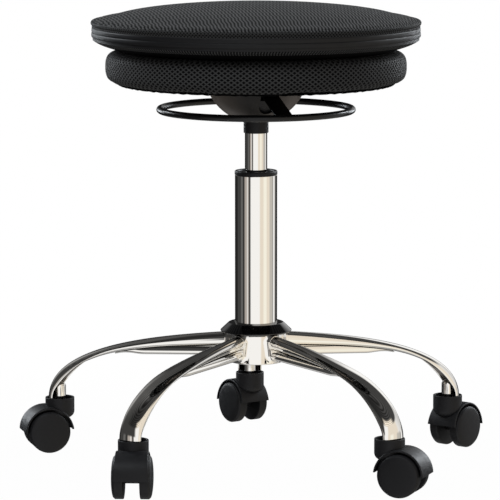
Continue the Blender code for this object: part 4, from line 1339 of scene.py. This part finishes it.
pad_edge = PAD_RADIUS + PAD_SIDE
pad_profile = np.concatenate(
    [
        [(0, pad_foot + PAD_START)],
        quarter((pad_edge - PAD_FOOT[0], pad_foot + PAD_START + PAD_FOOT[1]), PAD_FOOT, -pi / 2),
        quarter((pad_edge - PAD_SHOULDER, pad_top - PAD_SHOULDER), (PAD_SHOULDER, PAD_SHOULDER), 0),
        [(0, pad_top)],
    ]
)
pad = piece("mesh_seat_pad", [turned(pad_profile, 220)])
swell(pad, PAD_LIMIT)
pad.data.materials.append(pad_mesh)
put(pad, "seat", "black_mesh", "seat_pad")

# %% [markdown]
# ## The hem and the dust cover
#
# The gathered edge of the cover shows from the front as a thin black scalloped line. Its folds could be sculpted one
# by one. Here it is a tube carried round the pad on a wavy path, and the two waves have counts that share no factor,
# so that the folds don't seem to repeat. A thin black cloth, a flat turned ring, closes the rest of the underside.

# %% Gathered hem
HEM_RADIUS = PAD_RADIUS - 0.015
HEM_HEIGHT = pad_foot + 0.0004
HEM_TUBE = 0.0016
HEM_WAVES = (67, 94)
HEM_RISE = 0.0005
HEM_SWING = 0.0009


def hem_grid(steps=840, round_steps=8):
    """Tube round the column on a wavy path: height and radius follow two cosines whose counts share no factor."""
    a = 2 * pi * np.arange(steps) / steps
    waves = 0.6 * np.cos(HEM_WAVES[0] * a) + 0.4 * np.cos(HEM_WAVES[1] * a + 1)
    b = 2 * pi * np.arange(round_steps) / round_steps
    out = (HEM_RADIUS + HEM_SWING * waves)[:, None] + HEM_TUBE * np.cos(b)
    z = (HEM_HEIGHT + HEM_RISE * waves)[:, None] + HEM_TUBE * np.sin(b)
    return np.stack([out * np.cos(a)[:, None], out * np.sin(a)[:, None], z], -1)


put(piece("gathered_hem", [patch(hem_grid(), True, True)], black_cloth_and_painted_shade), "seat", "black_mesh")

# %% Dust cover
COVER_INSIDE = FLANGE_RADIUS + 0.0005
COVER_OUTSIDE = HEM_RADIUS - 0.001
COVER_FOOT = pad_foot - 0.0003
COVER_TOP = pad_foot + 0.0012
turned_piece("dust_cover", "seat", "black_mesh", black_cloth_and_painted_shade, corners=[
    (COVER_INSIDE, COVER_FOOT, 0.0001),
    (COVER_OUTSIDE, COVER_FOOT, 0.0003),
    (COVER_OUTSIDE, COVER_TOP, 0),
    (COVER_INSIDE, COVER_TOP, 0),
])

# %% [markdown]
# ## The balance cushion
#
# The cushion is a crowned top of ribbed mesh, a smooth band with two ridges round its edge, and a mesh underside that
# slopes in to the seat pad. The top is swollen like the pad. A roll edges it, with the same mesh above and a finer
# one below.

# %% Cushion top
edge_foot, crown_top, _ = span("cushion_top")
CUSHION_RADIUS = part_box("cushion_top")[1].x
CROWN_RADIUS = 0.170
CROWN_DROP = ((0.0118, 2), (0.0035, 8))
RIM_ROUND = 0.003
RING_SLOPE = 0.125
TOP_START = 0.0009
TOP_LIMIT = 0.0012


def crown_profile(steps=100):
    """Dome that falls by 11.8 x^2 + 3.5 x^8 mm, where x = r / 170 mm, and outside it a ring with an even slope."""
    r = np.linspace(0, CUSHION_RADIUS - RIM_ROUND, steps)
    x = np.minimum(r / CROWN_RADIUS, 1)
    drop = sum(depth * x**power for depth, power in CROWN_DROP)
    return np.stack([r, crown_top - drop - RING_SLOPE * np.maximum(r - CROWN_RADIUS, 0)], -1)


crown_line = crown_profile()
rim_line = rounded([
    (*crown_line[-1], 0),
    (CUSHION_RADIUS - 0.0002, crown_line[-1][1] - 0.0002, 0.0022),
    (CUSHION_RADIUS - 0.001, edge_foot, 0.0012),
    (0, edge_foot, 0),
])
top_profile = np.concatenate([crown_line, rim_line])
top_profile[:, 0] *= (CUSHION_RADIUS - TOP_START) / CUSHION_RADIUS
top_profile[:, 1] -= TOP_START
cushion = piece("mesh_cushion_top", [turned(top_profile, 240)])
swell(cushion, TOP_LIMIT)
cushion.data.materials.append(top_mesh)
put(cushion, "cushion", "black_mesh", "cushion_top")

# %% [markdown]
# The top ends in a soft roll above the band. It could be a part of the swollen top, but the even quads of the cloth
# would blur a form as small as this. So it is turned, with an oval section and a notch below it.

# %% Edge roll
ROLL = (0.0030, 0.0031)
ROLL_MIDDLE = (CUSHION_RADIUS + 0.0006 - ROLL[0], edge_foot + 0.0055)
ROLL_TURN = np.radians((110, 40, -60))
NOTCH = (CUSHION_RADIUS - 0.0009, edge_foot + 0.0022)
ROLL_BACK = CUSHION_RADIUS - 0.007


def roll_arc(start, end, steps=14):
    """Part of the oval of the roll, from one angle down to another."""
    a = np.linspace(start, end, steps)
    return np.stack([ROLL_MIDDLE[0] + ROLL[0] * np.cos(a), ROLL_MIDDLE[1] + ROLL[1] * np.sin(a)], -1)


roll_top, roll_foot = roll_arc(*ROLL_TURN[:2]), roll_arc(*ROLL_TURN[1:])
strip = [NOTCH, (CUSHION_RADIUS - 0.0006, edge_foot + 0.0012), (CUSHION_RADIUS - 0.0009, edge_foot)]
back = [(ROLL_BACK, edge_foot), (ROLL_BACK, roll_top[0][1]), roll_top[0]]
roll_lines = (roll_top, np.concatenate([roll_foot, strip, back]))
patches = [turned(line, 360) for line in roll_lines]
put(piece("edge_roll", patches, top_mesh, rim_mesh, numbers=[0, 1]), "cushion", "black_mesh")

# %% [markdown]
# The band is a smooth tape that covers the closing of the cushion, and two soft ridges run round it. The section of a
# ridge is a power of a sine, which is fuller than an arc, as tape over a cord is.

# %% Band with two ridges
band_foot, band_top, _ = span("zip_band")
BAND_REACH = (0.0002, 0.0004)
band_foot -= BAND_REACH[0]
band_top += BAND_REACH[1]
BAND_RADIUS = CUSHION_RADIUS - 0.0009
BAND_WALL = 0.004
GROOVE = 0.50
RIDGES = ((0.0, GROOVE, 0.0009), (GROOVE, 1.0, 0.0006))
RIDGE_POWER = 0.4


def band_profile(steps=20):
    """Each ridge stands out by height * sin(pi s)^0.4 between its shares of the band, and the back is straight."""
    s = np.linspace(0, 1, steps)
    bulge = np.sin(pi * s) ** RIDGE_POWER
    ridges = [
        np.stack([BAND_RADIUS + out * bulge, mix(band_foot, band_top, mix(low, high, s))], -1)
        for low, high, out in RIDGES
    ]
    back = [(BAND_RADIUS - BAND_WALL, band_top), (BAND_RADIUS - BAND_WALL, band_foot)]
    return np.concatenate([*ridges, back])


put(piece("satin_band", [turned(band_profile(), 300, True)], band_cloth), "cushion", "satin_band", "zip_band")

# %% [markdown]
# The underside has to follow two tilts. The cushion first tips forward or back with the air cell, and then sideways on
# it. A piece can bend across one joint only, so the underside is made as two rings of cloth that meet in a seam: the
# lower one reaches from the seat up to the seam, and the upper one from the seam to the cushion's rim.

# %% Line of the underside
under_foot, under_top, _ = span("cushion_underside")
REST_RADIUS = 0.1595
RIM_RADIUS = 0.1919
LIFT = 0.0015
SLOPE = 0.0093
BEND = 0.0030
# Share of the slope at the seam; below it the lower ring is near-black, as painted shade of the gap above the pad.
SHADE_SEAM_SHARE = 0.72
UNDER_WALL = 0.002


def underside_line(low, high, steps=30):
    """Slope that bends up towards the rim: foot + lift + slope * u + bend * u^5, where u goes from 0 to 1."""
    u = np.linspace(low, high, steps)
    return np.stack([mix(REST_RADIUS, RIM_RADIUS, u), under_foot + LIFT + SLOPE * u + BEND * u**5], -1)


def cloth_back(line):
    """Back of the cloth: the line moved inwards and run the other way."""
    return line[::-1] - (UNDER_WALL, -UNDER_WALL / 2)


# %% Two rings of cloth
lower = underside_line(0, SHADE_SEAM_SHARE)
rest = [(0, under_foot), (REST_RADIUS - LIFT, under_foot)]
lower_back = cloth_back(lower)
lower_wall = np.concatenate([rest, lower, lower_back, [(0, lower_back[-1][1])]])
upper = underside_line(SHADE_SEAM_SHARE, 1)
upright = np.array([upper[-1], (RIM_RADIUS, mix(upper[-1][1], under_top, 0.5)), (RIM_RADIUS, under_top)])
upper_back = cloth_back(np.concatenate([upper, upright[1:]]))
upper_lines = [upper, upright, np.concatenate([upright[-1:], upper_back, upper[:1]])]
# The lower ring is near-black cloth: painted shade of the deep gap between the cushion and the seat pad.
lower_shade_ring = piece("underside_lower", [turned(lower_wall, 240)], black_cloth_and_painted_shade)
upper_patches = [turned(line, 240) for line in upper_lines]
upper_ring = piece("underside_upper", upper_patches, under_mesh, band_cloth, numbers=[0, 1, 0])
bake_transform(lower_shade_ring)
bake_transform(upper_ring)
for made in (lower_shade_ring, upper_ring):
    black_pieces.objects.link(made)
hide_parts("cushion_underside")

# %% [markdown]
# The air cell inside shows only when the cover is hidden. It is one turned film.

# %% Air cell
cell_foot, cell_top, cell_radius = span("air_bladder")
CELL_LIFT = 0.0004
CELL_TUCK = 0.008
CELL_GAP = 0.004
cell_line = rounded([
    (0, cell_foot + CELL_LIFT, 0),
    (REST_RADIUS - CELL_TUCK, cell_foot + CELL_LIFT, 0.01),
    (cell_radius - CELL_GAP, band_foot, 0.006),
    (cell_radius - CELL_GAP, band_top, 0.006),
    (0, cell_top - CELL_GAP, 0),
])
cell = piece("air_cell_film", [turned(cell_line, 120)], film)
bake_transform(cell)
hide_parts("air_bladder")
print(cell.name, triangles(cell), "triangles")

# %% [markdown]
# ## Screws
#
# The cup is screwed up to the plywood through its flange. A pan head is a low turned dome, and its cross recess is too
# small to show.

# %% Flange screws
SCREW_CIRCLE = 0.071
SCREW_COUNT = 4
SCREW_RADIUS = 0.0048
HEAD_EDGE = flange_low - 0.0012
HEAD_FOOT = flange_low - 0.0026
head = rounded([
    (0, HEAD_FOOT, 0),
    (SCREW_RADIUS * 0.7, HEAD_FOOT, 0.001),
    (SCREW_RADIUS, HEAD_EDGE, 0.0006),
    (SCREW_RADIUS, flange_low, 0),
    (0, flange_low, 0),
])
head_grid = lathe(head, 24)
patches = []
for k in range(SCREW_COUNT):
    turn = LEVER_ANGLE + pi / 4 + k * pi / 2
    place = np.array((SCREW_CIRCLE * cos(turn), SCREW_CIRCLE * sin(turn), 0))
    patches.append(rings(head_grid + place))
put(piece("flange_screws", patches, steel), "seat", "steel")

# %% [markdown]
# ## What is left of the frame
#
# The pins, the rod and the board inside stay as the CAD has them and only get their finishes.

# %% Finishes of the CAD nodes that stay
KEPT = {
    "column_end_cap": matt_black,
    "thrust_bearing": steel,
    "piston_rod": steel,
    "release_pin": steel,
    "seat_board": plywood,
}
for k in range(1, LEG_COUNT + 1):
    KEPT[f"caster_stem_{k}"] = steel
    KEPT[f"caster_axle_{k}"] = steel
for name, material in KEPT.items():
    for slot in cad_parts[name].material_slots:
        slot.material = material
print("CAD nodes kept:", len(KEPT))

# %% [markdown]
# ## The floor
#
# The floor is a white disc. To the camera it glows softly, so that it joins the white background, and the share that
# is left takes the stool's shadow. The glow grows to plain white at its edge. Reflections show the studio's ground.

# %% Floor
FLOOR_RADIUS = 0.8
FLOOR_TOP, FLOOR_FOOT = -0.0006, -0.002
GLOW = 0.985
GLOW_GROWS = (0.3, 0.75)

floor_finish, tree, _ = new_finish("floor_white")
tree.nodes.clear()
place = add(tree, "TexCoord").outputs["Object"]
far = add(tree, "VectorMath", {0: place}, operation="LENGTH").outputs["Value"]
glow = map_range(tree, far, *GLOW_GROWS, GLOW, 1.0)
rays = add(tree, "LightPath").outputs
seen = math(tree, "MAXIMUM", rays["Is Camera Ray"], rays["Is Glossy Ray"])
seen = math(tree, "MAXIMUM", seen, rays["Is Transmission Ray"])
share = math(tree, "MULTIPLY", seen, glow)
matt = add(tree, "BsdfDiffuse", {"Color": (0.9, 0.9, 0.9, 1)})
bright = add(tree, "Emission", {"Color": WHITE, "Strength": 1.0})
floor_mix = mix_shaders(tree, share, matt, bright)
add(tree, "OutputMaterial", {"Surface": floor_mix.outputs[0]})
floor_line = [(0, FLOOR_TOP), (FLOOR_RADIUS, FLOOR_TOP), (FLOOR_RADIUS, FLOOR_FOOT), (0, FLOOR_FOOT)]
floor = piece("floor", [turned(floor_line, 96)], floor_finish)
floor.visible_glossy = False
print("floor:", 2 * FLOOR_RADIUS, "m across")
